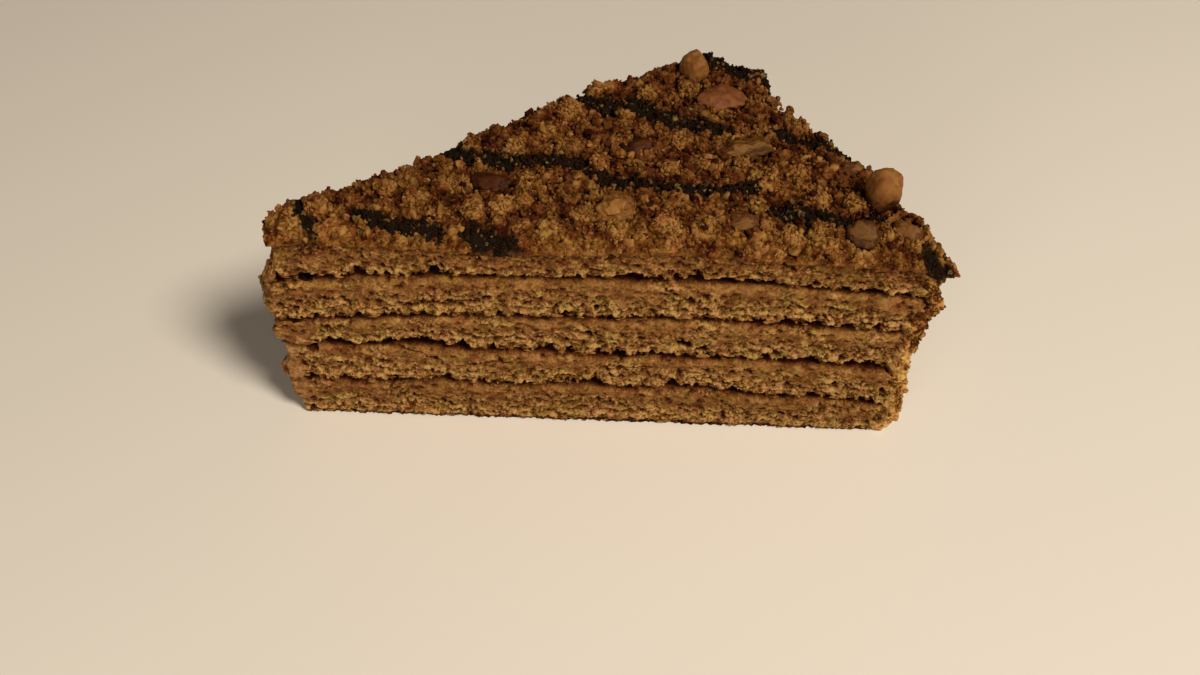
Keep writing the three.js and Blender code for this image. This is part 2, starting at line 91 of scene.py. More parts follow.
# Mounds of the heap: s, t, reach, height
MOUNDS = [(78.5, 46.8, 8.0, 2.2), (85.0, 42.8, 4.6, 2.0), (5.0, 3.5, 10.0, 1.6), (98.0, 17.0, 8.0, 0.7), (47.0, 33.0, 9.0, 0.9)]
RIM_FRONT = np.array([FRONT_LENGTH, 0.0])
RIM_APEX = np.array([APEX_S, TIP_WIDTH + BACK_SLOPE * APEX_S])
CAKE_AXIS = np.array([-TIP_WIDTH / BACK_SLOPE, 0.0])
CENTRE = np.array([62.0, 17.5])
BACK_N = np.array([-BACK_SLOPE, 1.0]) / math.hypot(1.0, BACK_SLOPE)

# Holes torn in the long cut face: s, z, half width, half height, depth
HOLES = [
    (4.4, 19.2, 1.05, 1.00, 2.6), (17.0, 21.8, 0.60, 0.50, 1.4), (29.2, 2.1, 0.75, 0.60, 1.3),
    (36.1, 1.6, 0.55, 0.45, 1.1), (10.9, 1.7, 0.65, 0.35, 1.1), (17.1, 3.6, 0.65, 0.45, 1.1),
    (3.8, 30.2, 0.50, 0.40, 1.1), (22.0, 32.7, 0.60, 0.45, 1.0), (91.0, 40.9, 0.65, 0.50, 1.4),
    (100.1, 39.4, 0.90, 0.45, 1.6), (105.4, 38.4, 1.70, 0.55, 1.5), (106.6, 28.6, 1.50, 0.70, 1.1),
    (104.6, 18.6, 2.10, 0.60, 1.5), (92.7, 24.5, 0.70, 0.35, 1.0), (98.8, 21.5, 0.55, 0.40, 1.0),
    (70.9, 23.8, 1.60, 0.95, 2.4), (73.6, 22.6, 1.60, 0.65, 2.0), (45.2, 24.2, 0.85, 0.45, 1.3),
    (53.6, 26.0, 1.00, 0.55, 1.0), (63.6, 25.1, 0.50, 0.35, 1.0), (61.1, 41.0, 0.90, 0.60, 1.6),
    (70.9, 41.0, 0.90, 0.55, 1.5), (68.3, 36.8, 0.50, 0.40, 1.1), (55.1, 33.1, 0.40, 0.50, 1.1),
    (52.6, 33.5, 0.45, 0.45, 0.9), (36.4, 13.7, 0.50, 0.45, 1.1), (43.1, 6.4, 0.45, 0.35, 0.8),
    (26.4, 12.6, 0.60, 0.50, 1.1), (79.5, 13.5, 0.60, 0.35, 1.0), (87.0, 5.6, 0.55, 0.35, 0.9),
]
# Wider openings of a seam: seam number, s, half length, height
OPENINGS = [
    (2, 23.5, 4.6, 1.5), (1, 19.0, 1.2, 0.9), (1, 53.3, 1.5, 1.1), (3, 48.7, 1.2, 0.9), (4, 61.2, 1.4, 0.9),
    (4, 70.8, 1.2, 0.8), (2, 63.2, 1.2, 0.7), (4, 82.5, 3.2, 0.7), (3, 83.0, 2.6, 0.7), (4, 100.5, 2.2, 0.7),
    (4, 105.5, 1.6, 0.8), (2, 104.8, 2.6, 1.0), (3, 92.5, 2.0, 0.6), (1, 99.0, 2.2, 0.6), (3, 13.5, 2.4, 0.6),
    (4, 8.5, 1.6, 0.5), (2, 8.0, 2.4, 0.6), (1, 74.0, 2.6, 0.6),
]
# Cracks along a face: line of (s, z), half height, depth
CRACKS = [
    ([(32.5, 15.7), (36.0, 17.1), (40.5, 16.9)], 0.22, 0.8),
    ([(56.5, 15.7), (60.2, 17.0), (66.5, 17.3)], 0.20, 0.7),
    ([(60.5, 9.9), (64.3, 11.2), (71.7, 11.7), (77.0, 11.3)], 0.25, 1.0),
    ([(21.5, 31.7), (29.4, 33.2), (36.8, 33.4)], 0.22, 0.8),
    ([(14.0, 21.0), (19.5, 20.3), (25.0, 18.4)], 0.22, 0.8),
]

# --------------------------------------------------------------------------
# Noise
# --------------------------------------------------------------------------


def smooth(u):
    u = np.clip(u, 0.0, 1.0)
    return u * u * (3 - 2 * u)


def hash01(i, j, k, seed):
    h = (i * 374761393 + j * 668265263 + k * 1442695041 + seed * 1274126177) & 0xFFFFFFFF
    h = ((h ^ (h >> 13)) * 1103515245) & 0xFFFFFFFF
    h = ((h ^ (h >> 15)) * 747796405) & 0xFFFFFFFF
    h = h ^ (h >> 16)
    return h / 4294967296.0


GRADS = np.array([
    (1, 1, 0), (-1, 1, 0), (1, -1, 0), (-1, -1, 0), (1, 0, 1), (-1, 0, 1),
    (1, 0, -1), (-1, 0, -1), (0, 1, 1), (0, -1, 1), (0, 1, -1), (0, -1, -1)], float)


def noise(p, seed=0):
    """Gradient noise, about -1..1, for points (..., 3)."""
    shape = p.shape[:-1]
    p = p.reshape(-1, 3)
    base = np.floor(p)
    f = p - base
    base = base.astype(np.int64)
    w = f * f * f * (f * (f * 6 - 15) + 10)
    out = np.zeros(len(p))
    for a in (0, 1):
        for b in (0, 1):
            for c in (0, 1):
                h = (hash01(base[:, 0] + a, base[:, 1] + b, base[:, 2] + c, seed) * 12).astype(int) % 12
                g = GRADS[h]
                dot = g[:, 0] * (f[:, 0] - a) + g[:, 1] * (f[:, 1] - b) + g[:, 2] * (f[:, 2] - c)
                wt = (w[:, 0] if a else 1 - w[:, 0]) * (w[:, 1] if b else 1 - w[:, 1]) * (w[:, 2] if c else 1 - w[:, 2])
                out += wt * dot
    return (out * 1.25).reshape(shape)


def flat_noise(s, t, scale, seed, layer=0.0):
    return noise(np.stack([s / scale, t / scale, np.full_like(s, layer)], -1), seed)


def worley(p, seed=0):
    """Distance to the nearest point of a jittered grid, and that point's two random numbers."""
    shape = p.shape[:-1]
    p = p.reshape(-1, 3)
    base = np.floor(p).astype(np.int64)
    best = np.full(len(p), 9.0)
    r1 = np.zeros(len(p))
    r2 = np.zeros(len(p))
    for a in (-1, 0, 1):
        for b in (-1, 0, 1):
            for c in (-1, 0, 1):
                i, j, k = base[:, 0] + a, base[:, 1] + b, base[:, 2] + c
                hx, hy, hz = hash01(i, j, k, seed), hash01(i, j, k, seed + 1), hash01(i, j, k, seed + 2)
                d = (p[:, 0] - i - hx) ** 2 + (p[:, 1] - j - hy) ** 2 + (p[:, 2] - k - hz) ** 2
                closer = d < best
                best = np.where(closer, d, best)
                r1 = np.where(closer, hash01(i, j, k, seed + 3), r1)
                r2 = np.where(closer, hash01(i, j, k, seed + 4), r2)
    return np.sqrt(best).reshape(shape), r1.reshape(shape), r2.reshape(shape)


def domes(x, y, cell, seed, r_low, r_high, share=1.0):
    """Height of a field of half balls strewn over the plane, one to a cell, and each one's tone."""
    gx, gy = x / cell, y / cell
    i0, j0 = np.floor(gx).astype(np.int64), np.floor(gy).astype(np.int64)
    best = np.zeros(x.shape)
    tone = np.zeros(x.shape)
    zero = np.zeros_like(i0)
    for a in (-1, 0, 1):
        for b in (-1, 0, 1):
            i, j = i0 + a, j0 + b
            cx, cy = i + hash01(i, j, zero, seed), j + hash01(i, j, zero, seed + 1)
            q = hash01(i, j, zero, seed + 2)
            r = (r_low + (r_high - r_low) * q * q) * (hash01(i, j, zero, seed + 5) < share)
            d2 = ((gx - cx) ** 2 + (gy - cy) ** 2) * cell * cell
            h = np.sqrt(np.maximum(r * r - d2, 0.0)) * (0.75 + 0.5 * hash01(i, j, zero, seed + 3))
            up = h > best
            best = np.where(up, h, best)
            tone = np.where(up, hash01(i, j, zero, seed + 4), tone)
    return best, tone


# --------------------------------------------------------------------------
# The slice's shape
# --------------------------------------------------------------------------


def seam(k, s, t):
    base, tilt, arch, waves = SEAMS[k]
    u = np.clip(s / FRONT_LENGTH, 0, 1)
    z = base + tilt * (u - 0.5) + arch * np.sin(np.pi * u)
    for amp, length, phase in waves:
        z = z + amp * np.sin(2 * np.pi * (s + 0.35 * t) / length + phase)
    return z


def table(rows, x):
    xs = np.array([r[0] for r in rows], float)
    ys = np.array([r[1] for r in rows], float)
    x = np.clip(x, xs[0], xs[-1])
    i = np.clip(np.searchsorted(xs, x, side="right") - 1, 0, len(xs) - 2)
    u = smooth((x - xs[i]) / (xs[i + 1] - xs[i]))
    return ys[i] * (1 - u) + ys[i + 1] * u


def rim_bow(u):
    return RIM_BULGE * (1 - np.abs(2 * np.clip(u, 0, 1) - 1) ** RIM_SQUARE)


def rim_point(u, off):
    u = np.asarray(u, float)
    d = RIM_APEX - RIM_FRONT
    length = np.hypot(*d)
    bow = rim_bow(u)
    x = RIM_FRONT[0] + u * d[0] + bow * d[1] / length
    y = RIM_FRONT[1] + u * d[1] - bow * d[0] / length
    rx, ry = x - CAKE_AXIS[0], y - CAKE_AXIS[1]
    r = np.hypot(rx, ry)
    return np.stack([x + off * rx / r, y + off * ry / r], -1)


def inside(s, t):
    """How far a plan point lies inside the nearest edge of the slice."""
    back = (TIP_WIDTH + BACK_SLOPE * s - t) / math.hypot(1, BACK_SLOPE)
    d = RIM_APEX - RIM_FRONT
    length = np.hypot(*d)
    u = ((s - RIM_FRONT[0]) * d[0] + (t - RIM_FRONT[1]) * d[1]) / length ** 2
    rim = rim_bow(u) - ((s - RIM_FRONT[0]) * d[1] - (t - RIM_FRONT[1]) * d[0]) / length
    return np.minimum(np.minimum(t, back), rim)


# --------------------------------------------------------------------------
# Mesh building
# --------------------------------------------------------------------------


def to_world(p):
    out = np.empty(p.shape, np.float32)
    out[..., 0] = (p[..., 0] - ORIGIN_S) * 0.001
    out[..., 1] = (p[..., 1] - ORIGIN_T) * 0.001
    out[..., 2] = p[..., 2] * 0.001
    return out


def make_mesh(name, verts, faces, attrs, material, nodes=()):
    """faces is a list of int arrays, each (n, 3) or (n, 4)."""
    me = bpy.data.meshes.new(name)
    co = to_world(np.asarray(verts, float))
    me.vertices.add(len(co))
    me.vertices.foreach_set("co", co.ravel())
    faces = [np.asarray(f) for f in faces if len(f)]
    sizes = np.concatenate([np.full(len(f), f.shape[1]) for f in faces])
    corners = np.concatenate([f.ravel() for f in faces]).astype(np.int32)
    starts = np.concatenate([[0], np.cumsum(sizes)[:-1]]).astype(np.int32)
    me.loops.add(len(corners))
    me.loops.foreach_set("vertex_index", corners)
    me.polygons.add(len(sizes))
    me.polygons.foreach_set("loop_start", starts)
    me.update(calc_edges=True)
    me.validate(clean_customdata=False)
    me.polygons.foreach_set("use_smooth", np.ones(len(me.polygons), bool))
    for key, value in attrs.items():
        layer = me.attributes.new(key, "FLOAT", "POINT")
        layer.data.foreach_set("value", np.asarray(value, np.float32).ravel())
    me.update()
    ob = bpy.data.objects.new(name, me)
    bpy.context.scene.collection.objects.link(ob)
    me.materials.append(material)
    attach(ob, "root")
    if nodes:
        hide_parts(*nodes)
    return ob


def grid_quads(rows, cols, start, closed):
    """Quads of a (rows x cols) grid of vertices; closed joins the last column to the first."""
    r = np.arange(rows - 1)[:, None]
    c = np.arange(cols if closed else cols - 1)[None, :]
    n = (c + 1) % cols
    a, b = start + r * cols + c, start + r * cols + n
    return np.stack([a, b, b + cols, a + cols], -1).reshape(-1, 4)


def blur_columns(a, times, closed=True):
    for _ in range(times):
        if closed:
            a = (np.roll(a, 1, 1) + 2 * a + np.roll(a, -1, 1)) / 4
        else:
            b = a.copy()
            b[:, 1:-1] = (a[:, :-2] + 2 * a[:, 1:-1] + a[:, 2:]) / 4
            a = b
    return a


def blur_rows(a, times):
    for _ in range(times):
        b = a.copy()
        b[1:-1] = (a[:-2] + 2 * a[1:-1] + a[2:]) / 4
        a = b
    return a


def ico(level):
    bm = bmesh.new()
    bmesh.ops.create_icosphere(bm, subdivisions=level, radius=1.0)
    v = np.array([x.co[:] for x in bm.verts])
    f = np.array([[y.index for y in x.verts] for x in bm.faces])
    bm.free()
    return v, f


# --------------------------------------------------------------------------
# Materials
# --------------------------------------------------------------------------


def srgb(r, g, b):
    out = []
    for v in (r, g, b):
        v = v / 255.0
        out.append(v / 12.92 if v <= 0.04045 else ((v + 0.055) / 1.055) ** 2.4)
    return (*out, 1.0)


def baked(r, g, b):
    """The same colour, browner."""
    return srgb(r * 0.91, g * 0.85, b * 0.76)


class Nodes:
    def __init__(self, name):
        self.mat = bpy.data.materials.new(name)
        self.mat.use_nodes = True
        self.tree = self.mat.node_tree
        self.tree.nodes.clear()
        self.out = self.add("ShaderNodeOutputMaterial")
        self.shader = self.add("ShaderNodeBsdfPrincipled")
        self.link(self.shader.outputs[0], self.out.inputs[0])

    def add(self, kind, **values):
        n = self.tree.nodes.new(kind)
        for k, v in values.items():
            setattr(n, k, v)
        return n

    def link(self, a, b):
        self.tree.links.new(a, b)

    def attribute(self, name):
        return self.add("ShaderNodeAttribute", attribute_name=name).outputs["Fac"]

    def texture(self, scale, detail=3.0, rough=0.55, stretch=None, distort=0.0):
        """Noise whose scale is in waves per millimetre."""
        n = self.add("ShaderNodeTexNoise")
        n.inputs["Scale"].default_value = scale * 1000.0
        n.inputs["Detail"].default_value = detail
        n.inputs["Roughness"].default_value = rough
        n.inputs["Distortion"].default_value = distort
        where = self.add("ShaderNodeTexCoord").outputs["Object"]
        if stretch:
            m = self.add("ShaderNodeMapping")
            m.inputs["Scale"].default_value = stretch
            self.link(where, m.inputs["Vector"])
            where = m.outputs["Vector"]
        self.link(where, n.inputs["Vector"])
        return n.outputs["Fac"]

    def ramp(self, value, stops):
        r = self.add("ShaderNodeValToRGB")
        els = r.color_ramp.elements
        while len(els) > 1:
            els.remove(els[-1])
        els[0].position, els[0].color = stops[0][0], stops[0][1]
        for pos, col in stops[1:]:
            e = els.new(pos)
            e.color = col
        self.link(value, r.inputs["Fac"])
        return r.outputs["Color"]

    def span(self, value, a, b, lo=0.0, hi=1.0):
        m = self.add("ShaderNodeMapRange")
        m.inputs["From Min"].default_value = a
        m.inputs["From Max"].default_value = b
        m.inputs["To Min"].default_value = lo
        m.inputs["To Max"].default_value = hi
        self.link(value, m.inputs["Value"])
        return m.outputs["Result"]

    def math(self, op, a, b):
        m = self.add("ShaderNodeMath", operation=op)
        for i, v in enumerate((a, b)):
            if isinstance(v, (int, float)):
                m.inputs[i].default_value = v
            else:
                self.link(v, m.inputs[i])
        return m.outputs[0]

    def mix(self, fac, a, b, blend="MIX"):
        m = self.add("ShaderNodeMix", data_type="RGBA", blend_type=blend)
        for sock, v in ((m.inputs[0], fac), (m.inputs[6], a), (m.inputs[7], b)):
            if isinstance(v, (int, float, tuple)):
                sock.default_value = v
            else:
                self.link(v, sock)
        return m.outputs[2]

    def finish(self, colour, rough, bump=None, strength=0.5, distance=0.0002, sss=0.0, sss_scale=0.001,
               radius=(1.0, 0.45, 0.2), specular=0.3):
        s = self.shader.inputs
        if isinstance(colour, tuple):
            s["Base Color"].default_value = colour
        else:
            self.link(colour, s["Base Color"])
        s["Roughness"].default_value = rough
        s["Specular IOR Level"].default_value = specular
        if sss:
            s["Subsurface Weight"].default_value = sss
            s["Subsurface Radius"].default_value = radius
            s["Subsurface Scale"].default_value = sss_scale
        if bump is not None:
            b = self.add("ShaderNodeBump")
            b.inputs["Strength"].default_value = strength
            b.inputs["Distance"].default_value = distance
            self.link(bump, b.inputs["Height"])
            self.link(b.outputs["Normal"], s["Normal"])
        return self.mat


def layer_material(name):
    """Crumb and the cream soaked into it; "tone" is 1 for bare crumb and 0 for cream."""
    m = Nodes(name)
    # the second ramp input darkens the colour: painted shade in pits, seams, holes and hollows, plus the crumb's own
    # tone shifts
    shade_and_tone, tone = m.attribute("shade_and_tone"), m.attribute("tone")
    blotch = m.span(m.texture(0.45, 5.0, 0.62, stretch=(0.95, 0.95, 1.25)), 0.32, 0.68, -0.26, 0.26)
    speck = m.span(m.texture(2.6, 3.0, 0.6), 0.33, 0.67, -0.2, 0.2)
    rough = m.math("ADD", blotch, speck)
    crumb = m.ramp(m.math("ADD", shade_and_tone, rough), [
        (0.00, baked(206, 174, 120)), (0.18, baked(168, 134, 82)), (0.42, baked(122, 86, 43)),
        (0.62, baked(84, 44, 14)), (0.80, baked(54, 17, 2)), (1.0, baked(32, 6, 0))])
    cream = m.ramp(m.math("ADD", shade_and_tone, m.math("MULTIPLY", rough, 0.8)), [
        (0.00, baked(180, 142, 92)), (0.25, baked(144, 105, 60)), (0.46, baked(110, 71, 33)),
        (0.68, baked(76, 37, 11)), (1.0, baked(36, 8, 0))])
    base = m.mix(tone, cream, crumb)
    warm = m.texture(0.24, 3.0, 0.6)
    base = m.mix(m.span(warm, 0.56, 0.74, 0.0, 0.4), base, baked(124, 66, 18))
    base = m.mix(m.span(m.texture(0.33, 3.0, 0.6), 0.46, 0.66, 0.0, 0.8), base, (0.90, 1.04, 0.80, 1.0), "MULTIPLY")
    base = m.mix(m.span(m.texture(0.27, 3.0, 0.6), 0.46, 0.66, 0.0, 0.8), base, (1.02, 0.86, 1.05, 1.0), "MULTIPLY")
    wiped = m.ramp(m.math("ADD", shade_and_tone, m.math("MULTIPLY", rough, 0.9)), [
        (0.0, baked(214, 176, 136)), (0.4, baked(164, 122, 82)), (0.75, baked(100, 62, 34)), (1.0, baked(48, 19, 5))])
    base = m.mix(m.math("MULTIPLY", m.attribute("wipe"), m.span(m.texture(0.35, 4.0, 0.6), 0.38, 0.6, 0.15, 0.75)), base, wiped)
    return m.finish(base, 0.85, m.texture(3.2, 3.0, 0.6), 0.6, 0.00012, sss=0.12, sss_scale=0.0007, specular=0.1)


def crumb_material(name, light, middle):
    m = Nodes(name)
    # the middle attribute darkens the ramps: painted shade in the hollows of the heap, the coat and each grain, plus
    # the crumbs' own tone shifts
    tone, shade_and_tone, choc = m.attribute("tone"), m.attribute("shade_and_tone"), m.attribute("choc")
    grain = m.span(m.texture(0.42, 5.0, 0.6), 0.32, 0.68, -0.30, 0.30)
    speck = m.span(m.texture(2.6, 3.0, 0.6), 0.35, 0.65, -0.12, 0.12)
    fac = m.math("ADD", shade_and_tone, m.math("ADD", grain, speck))
    pale = m.ramp(fac, [
        (0.00, light), (0.25, middle), (0.48, baked(122, 80, 33)),
        (0.74, baked(76, 34, 8)), (1.0, baked(38, 9, 0))])
    brown = m.ramp(fac, [
        (0.00, baked(124, 76, 36)), (0.25, baked(98, 52, 19)), (0.48, baked(72, 31, 8)),
        (0.74, baked(46, 13, 1)), (1.0, baked(24, 5, 0))])
    base = m.mix(tone, brown, pale)
    base = m.mix(m.span(m.texture(0.38, 3.0, 0.6), 0.46, 0.66, 0.0, 0.7), base, (0.88, 1.02, 0.82, 1.0), "MULTIPLY")
    base = m.mix(m.span(m.texture(0.31, 3.0, 0.6), 0.46, 0.66, 0.0, 0.8), base, (1.04, 0.84, 0.95, 1.0), "MULTIPLY")
    dark = m.ramp(m.texture(1.8, 3.0, 0.6), [(0.3, srgb(11, 5, 2)), (0.7, srgb(36, 21, 9))])
    base = m.mix(choc, base, dark)
    return m.finish(base, 0.88, m.texture(3.6, 3.0, 0.6), 0.6, 0.00012, sss=0.12, sss_scale=0.0007, specular=0.1)


def chocolate_material():
    m = Nodes("dark_icing")
    tone = m.attribute("tone")
    dark = m.ramp(m.texture(1.8, 4.0, 0.65), [(0.3, srgb(10, 5, 2)), (0.55, srgb(24, 13, 5)), (0.75, srgb(50, 30, 13))])
    base = m.mix(tone, dark, srgb(104, 72, 34))
    return m.finish(base, 0.85, m.texture(3.0, 4.0, 0.65), 0.9, 0.00018, specular=0.15)


def fleck_material():
    m = Nodes("pale_fleck")
    # darker in each grain's dents: painted shade, plus each fleck's own tone
    fac = m.math("ADD", m.attribute("shade_and_tone"), m.span(m.texture(1.1, 4.0, 0.6), 0.3, 0.7, -0.3, 0.3))
    base = m.ramp(fac, [(0.0, srgb(132, 108, 64)), (0.4, srgb(98, 75, 40)), (0.8, srgb(54, 37, 16)), (1.0, srgb(28, 16, 6))])
    return m.finish(base, 0.85, m.texture(3.0, 3.0, 0.6), 0.6, 0.00012, sss=0.1, sss_scale=0.0007, specular=0.1)


def walnut_material(name, light, mid, dark):
    m = Nodes(name)
    fibre = m.texture(0.32, 5.0, 0.6, distort=1.6)
    # darker in the folds and on the lower side of piece 1: painted shade, with the skin's own darker colour
    fac = m.math("ADD", m.attribute("shade_and_tone"), m.span(fibre, 0.3, 0.7, -0.26, 0.26))
    base = m.ramp(fac, [(0.0, light), (0.45, mid), (1.0, dark)])
    spots = m.texture(0.7, 4.0, 0.6, distort=1.6)
    base = m.mix(m.span(spots, 0.60, 0.72, 0.0, 0.4), base, dark)
    return m.finish(base, 0.62, m.texture(2.2, 4.0, 0.6), 0.2, 0.0001, sss=0.30, sss_scale=0.0014,
                    radius=(1.0, 0.50, 0.22), specular=0.22)


SPONGE, CREAM = layer_material("sponge_crumb"), layer_material("caramel_cream")
CRUMB = crumb_material("cake_crumb", baked(182, 146, 92), baked(156, 116, 62))
COATED = crumb_material("rim_crumb", baked(238, 206, 136), baked(202, 161, 97))
CHOC, FLECK = chocolate_material(), fleck_material()
NUTS = {
    "light": walnut_material("walnut_light", srgb(154, 106, 52), srgb(122, 76, 32), srgb(66, 30, 8)),
    "tan": walnut_material("walnut_tan", srgb(126, 84, 38), srgb(98, 58, 23), srgb(56, 26, 7)),
    "pale": walnut_material("walnut_pale", srgb(116, 78, 34), srgb(86, 52, 20), srgb(54, 28, 8)),
    "gold": walnut_material("walnut_golden", srgb(126, 87, 30), srgb(96, 60, 18), srgb(56, 28, 6)),
    "kernel": walnut_material("walnut_kernel", srgb(156, 112, 52), srgb(128, 84, 34), srgb(84, 46, 13)),
    "skin": walnut_material("walnut_skin", srgb(82, 40, 11), srgb(62, 26, 6), srgb(38, 12, 2)),
    "pink": walnut_material("walnut_pinkish", srgb(142, 88, 50), srgb(118, 68, 34), srgb(78, 36, 12)),
}

# --------------------------------------------------------------------------
# Sponge and cream: one fine wall round the cut faces, parted into sheets
# --------------------------------------------------------------------------
N_F, N_R, N_B, N_T = 520, 8, 150, 20
COLS = N_F + N_R + N_B + N_T
ROWS = 40
SPLIT = 0.54


def perimeter(tf, tb, fr, bk, end):
    """Plan points and outward normals round the slice for rows of offsets (rows, 1)."""
    one = np.ones_like(tf)
    uf = (np.arange(N_F) / N_F)[None]
    f1 = rim_point(0 * one, end)
    s = tf * (1 - uf) + f1[..., 0] * uf
    front = np.stack([s, -fr + 0 * s], -1)
    nf = np.broadcast_to(np.array([0.0, -1.0]), front.shape)
    ur = np.array([0.0, 0.004, 0.010, 0.03, 0.5, 0.97, 0.99, 0.996])[None]
    rim = rim_point(ur * one, end * np.ones_like(ur))
    rn = rim - CAKE_AXIS
    rn = rn / np.linalg.norm(rn, axis=-1, keepdims=True)
    b0 = rim_point(one, end)
    b1t = TIP_WIDTH + BACK_SLOPE * np.maximum(tb, 0) * 0.6
    ub = (np.arange(N_B) / N_B)[None]
    sb = b0[..., 0] * (1 - ub) + tb * ub + BACK_N[0] * bk
    tbk = b0[..., 1] * (1 - ub) + b1t * ub + BACK_N[1] * bk
    back = np.stack([sb, tbk], -1)
    nb = np.broadcast_to(BACK_N, back.shape)
    ut = (np.arange(N_T) / N_T)[None]
    st_ = tb * (1 - smooth(ut)) + tf * smooth(ut) - 0.5 * np.sin(np.pi * ut)
    tt = (b1t + BACK_N[1] * bk) * (1 - ut) - fr * ut
    tip = np.stack([st_ * one, tt], -1)
    nt = np.broadcast_to(np.array([-1.0, 0.0]), tip.shape)
    p = np.concatenate([front, rim, back, tip], 1)
    n = np.concatenate([nf, rn, nb, nt], 1)
    for _ in range(10):
        n = (np.roll(n, 1, 1) + 2 * n + np.roll(n, -1, 1)) / 4
    n = n / np.maximum(np.linalg.norm(n, axis=-1, keepdims=True), 1e-6)
    for _ in range(5):
        p = (np.roll(p, 1, 1) + 2 * p + np.roll(p, -1, 1)) / 4
    return p, n


def crumb_relief(p, seed, tall=1.0):
    """How far torn crumb lies behind the cut, in mm: thin walls round many small pores."""
    warp = np.stack([noise(p / 1.3, seed + i) for i in (50, 51, 52)], -1)
    q = (p + 0.40 * warp) / np.array([1.0, 1.0, tall])
    f1, r1, r2 = worley(q / np.array([1.40, 1.40, 1.05]), seed)
    big = np.clip(1 - f1 / (0.42 + 0.34 * r1), 0, 1) * (0.15 + 1.60 * r2 * r2)
    f2, r3, r4 = worley(q / np.array([0.76, 0.76, 0.66]), seed + 9)
    small = np.clip(1 - f2 / 0.62, 0, 1) * (0.15 + 0.60 * r3)
    f3, r5, _ = worley(p / np.array([0.60, 0.60, 0.52]), seed + 13)
    tiny = np.clip(1 - f3 / 0.55, 0, 1) * (r5 > 0.35) * 0.55
    torn = 0.40 * noise(q / np.array([3.0, 3.0, 1.6]), seed + 20) + 0.34 * noise(q / np.array([1.2, 1.2, 1.0]), seed + 21)
    return 0.20 + big + small + tiny + torn + 0.22 * noise(p / 0.45, seed + 22)


def cream_relief(p, seed):
    q = p * np.array([0.75, 0.75, 1.1])
    f1, r1, r2 = worley(p / np.array([1.7, 1.7, 1.2]), seed + 3)
    pore = np.clip(1 - f1 / (0.16 + 0.26 * r1), 0, 1) * (0.3 + 0.8 * r2) * (r1 > 0.45)
    return 0.20 * noise(p / 4.2, seed) + 0.13 * noise(q / 1.0, seed + 1) + 0.07 * noise(p / 0.5, seed + 2) + pore


def crevice(k, s, t):
    """Height of the open seam over pair k: its steady part, and what is torn out of the lip above."""
    p = np.stack([s, t, np.full_like(s, 9.0 * k)], -1)
    wide = 0.58 + 0.70 * noise(p / 5.0, 301) + 0.66 * noise(p / 1.9, 302)
    arch = np.maximum(noise(p / 2.7, 303) - 0.06, 0) * 2.6 + np.maximum(noise(p / 1.3, 305) - 0.10, 0) * 1.1
    front = smooth((6.0 - t) / 4.0)
    for kk, at, half, tall in OPENINGS:
        if kk == k:
            arch = np.maximum(arch, front * tall * smooth((1.15 - np.abs(s - at) / half) / 0.8) * (1 + 0.3 * noise(p / 0.9, 304)))
    return np.clip(wide, 0.08, 1.4), np.clip(arch, 0, 2.0)


def smear(s, t, z):
    """Where cream is wiped over the tip."""
    edge = 2.1 + 0.9 * noise(np.stack([s * 0, t * 0, z / 2.2], -1), 333) + 0.5 * noise(np.stack([s / 1.2, t / 1.2, z / 1.2], -1), 334)
    return smooth((edge - s) / 1.3) * smooth((22.5 - z) / 2.0) * smooth((z - 2.5) / 3.0) * smooth((7.0 - t) / 3.0)


WALLS = {}


def close_sheet(rows_xyz, rows_shade_and_tone, rows_tone, rows_wipe, name, material, slot, node):
    """Closes a stack of rings with a fan at each end."""
    n = len(rows_xyz)
    mids = np.array([[CENTRE[0], CENTRE[1], rows_xyz[0][:, 2].mean()], [CENTRE[0], CENTRE[1], rows_xyz[-1][:, 2].mean()]])
    quads = grid_quads(n, COLS, 0, True)
    c = np.arange(COLS)
    c2 = (c + 1) % COLS
    lowfan = np.stack([c2, c, np.full(COLS, n * COLS)], -1)
    highfan = np.stack([(n - 1) * COLS + c, (n - 1) * COLS + c2, np.full(COLS, n * COLS + 1)], -1)
    make_mesh(name, np.concatenate([*rows_xyz, mids]), [quads, lowfan, highfan],
              {"shade_and_tone": np.concatenate([*rows_shade_and_tone, [1.0, 1.0]]), "tone": np.concatenate([*rows_tone, [0.5, 0.5]]),
               "wipe": np.concatenate([*rows_wipe, [0.0, 0.0]])}, material, (node,))


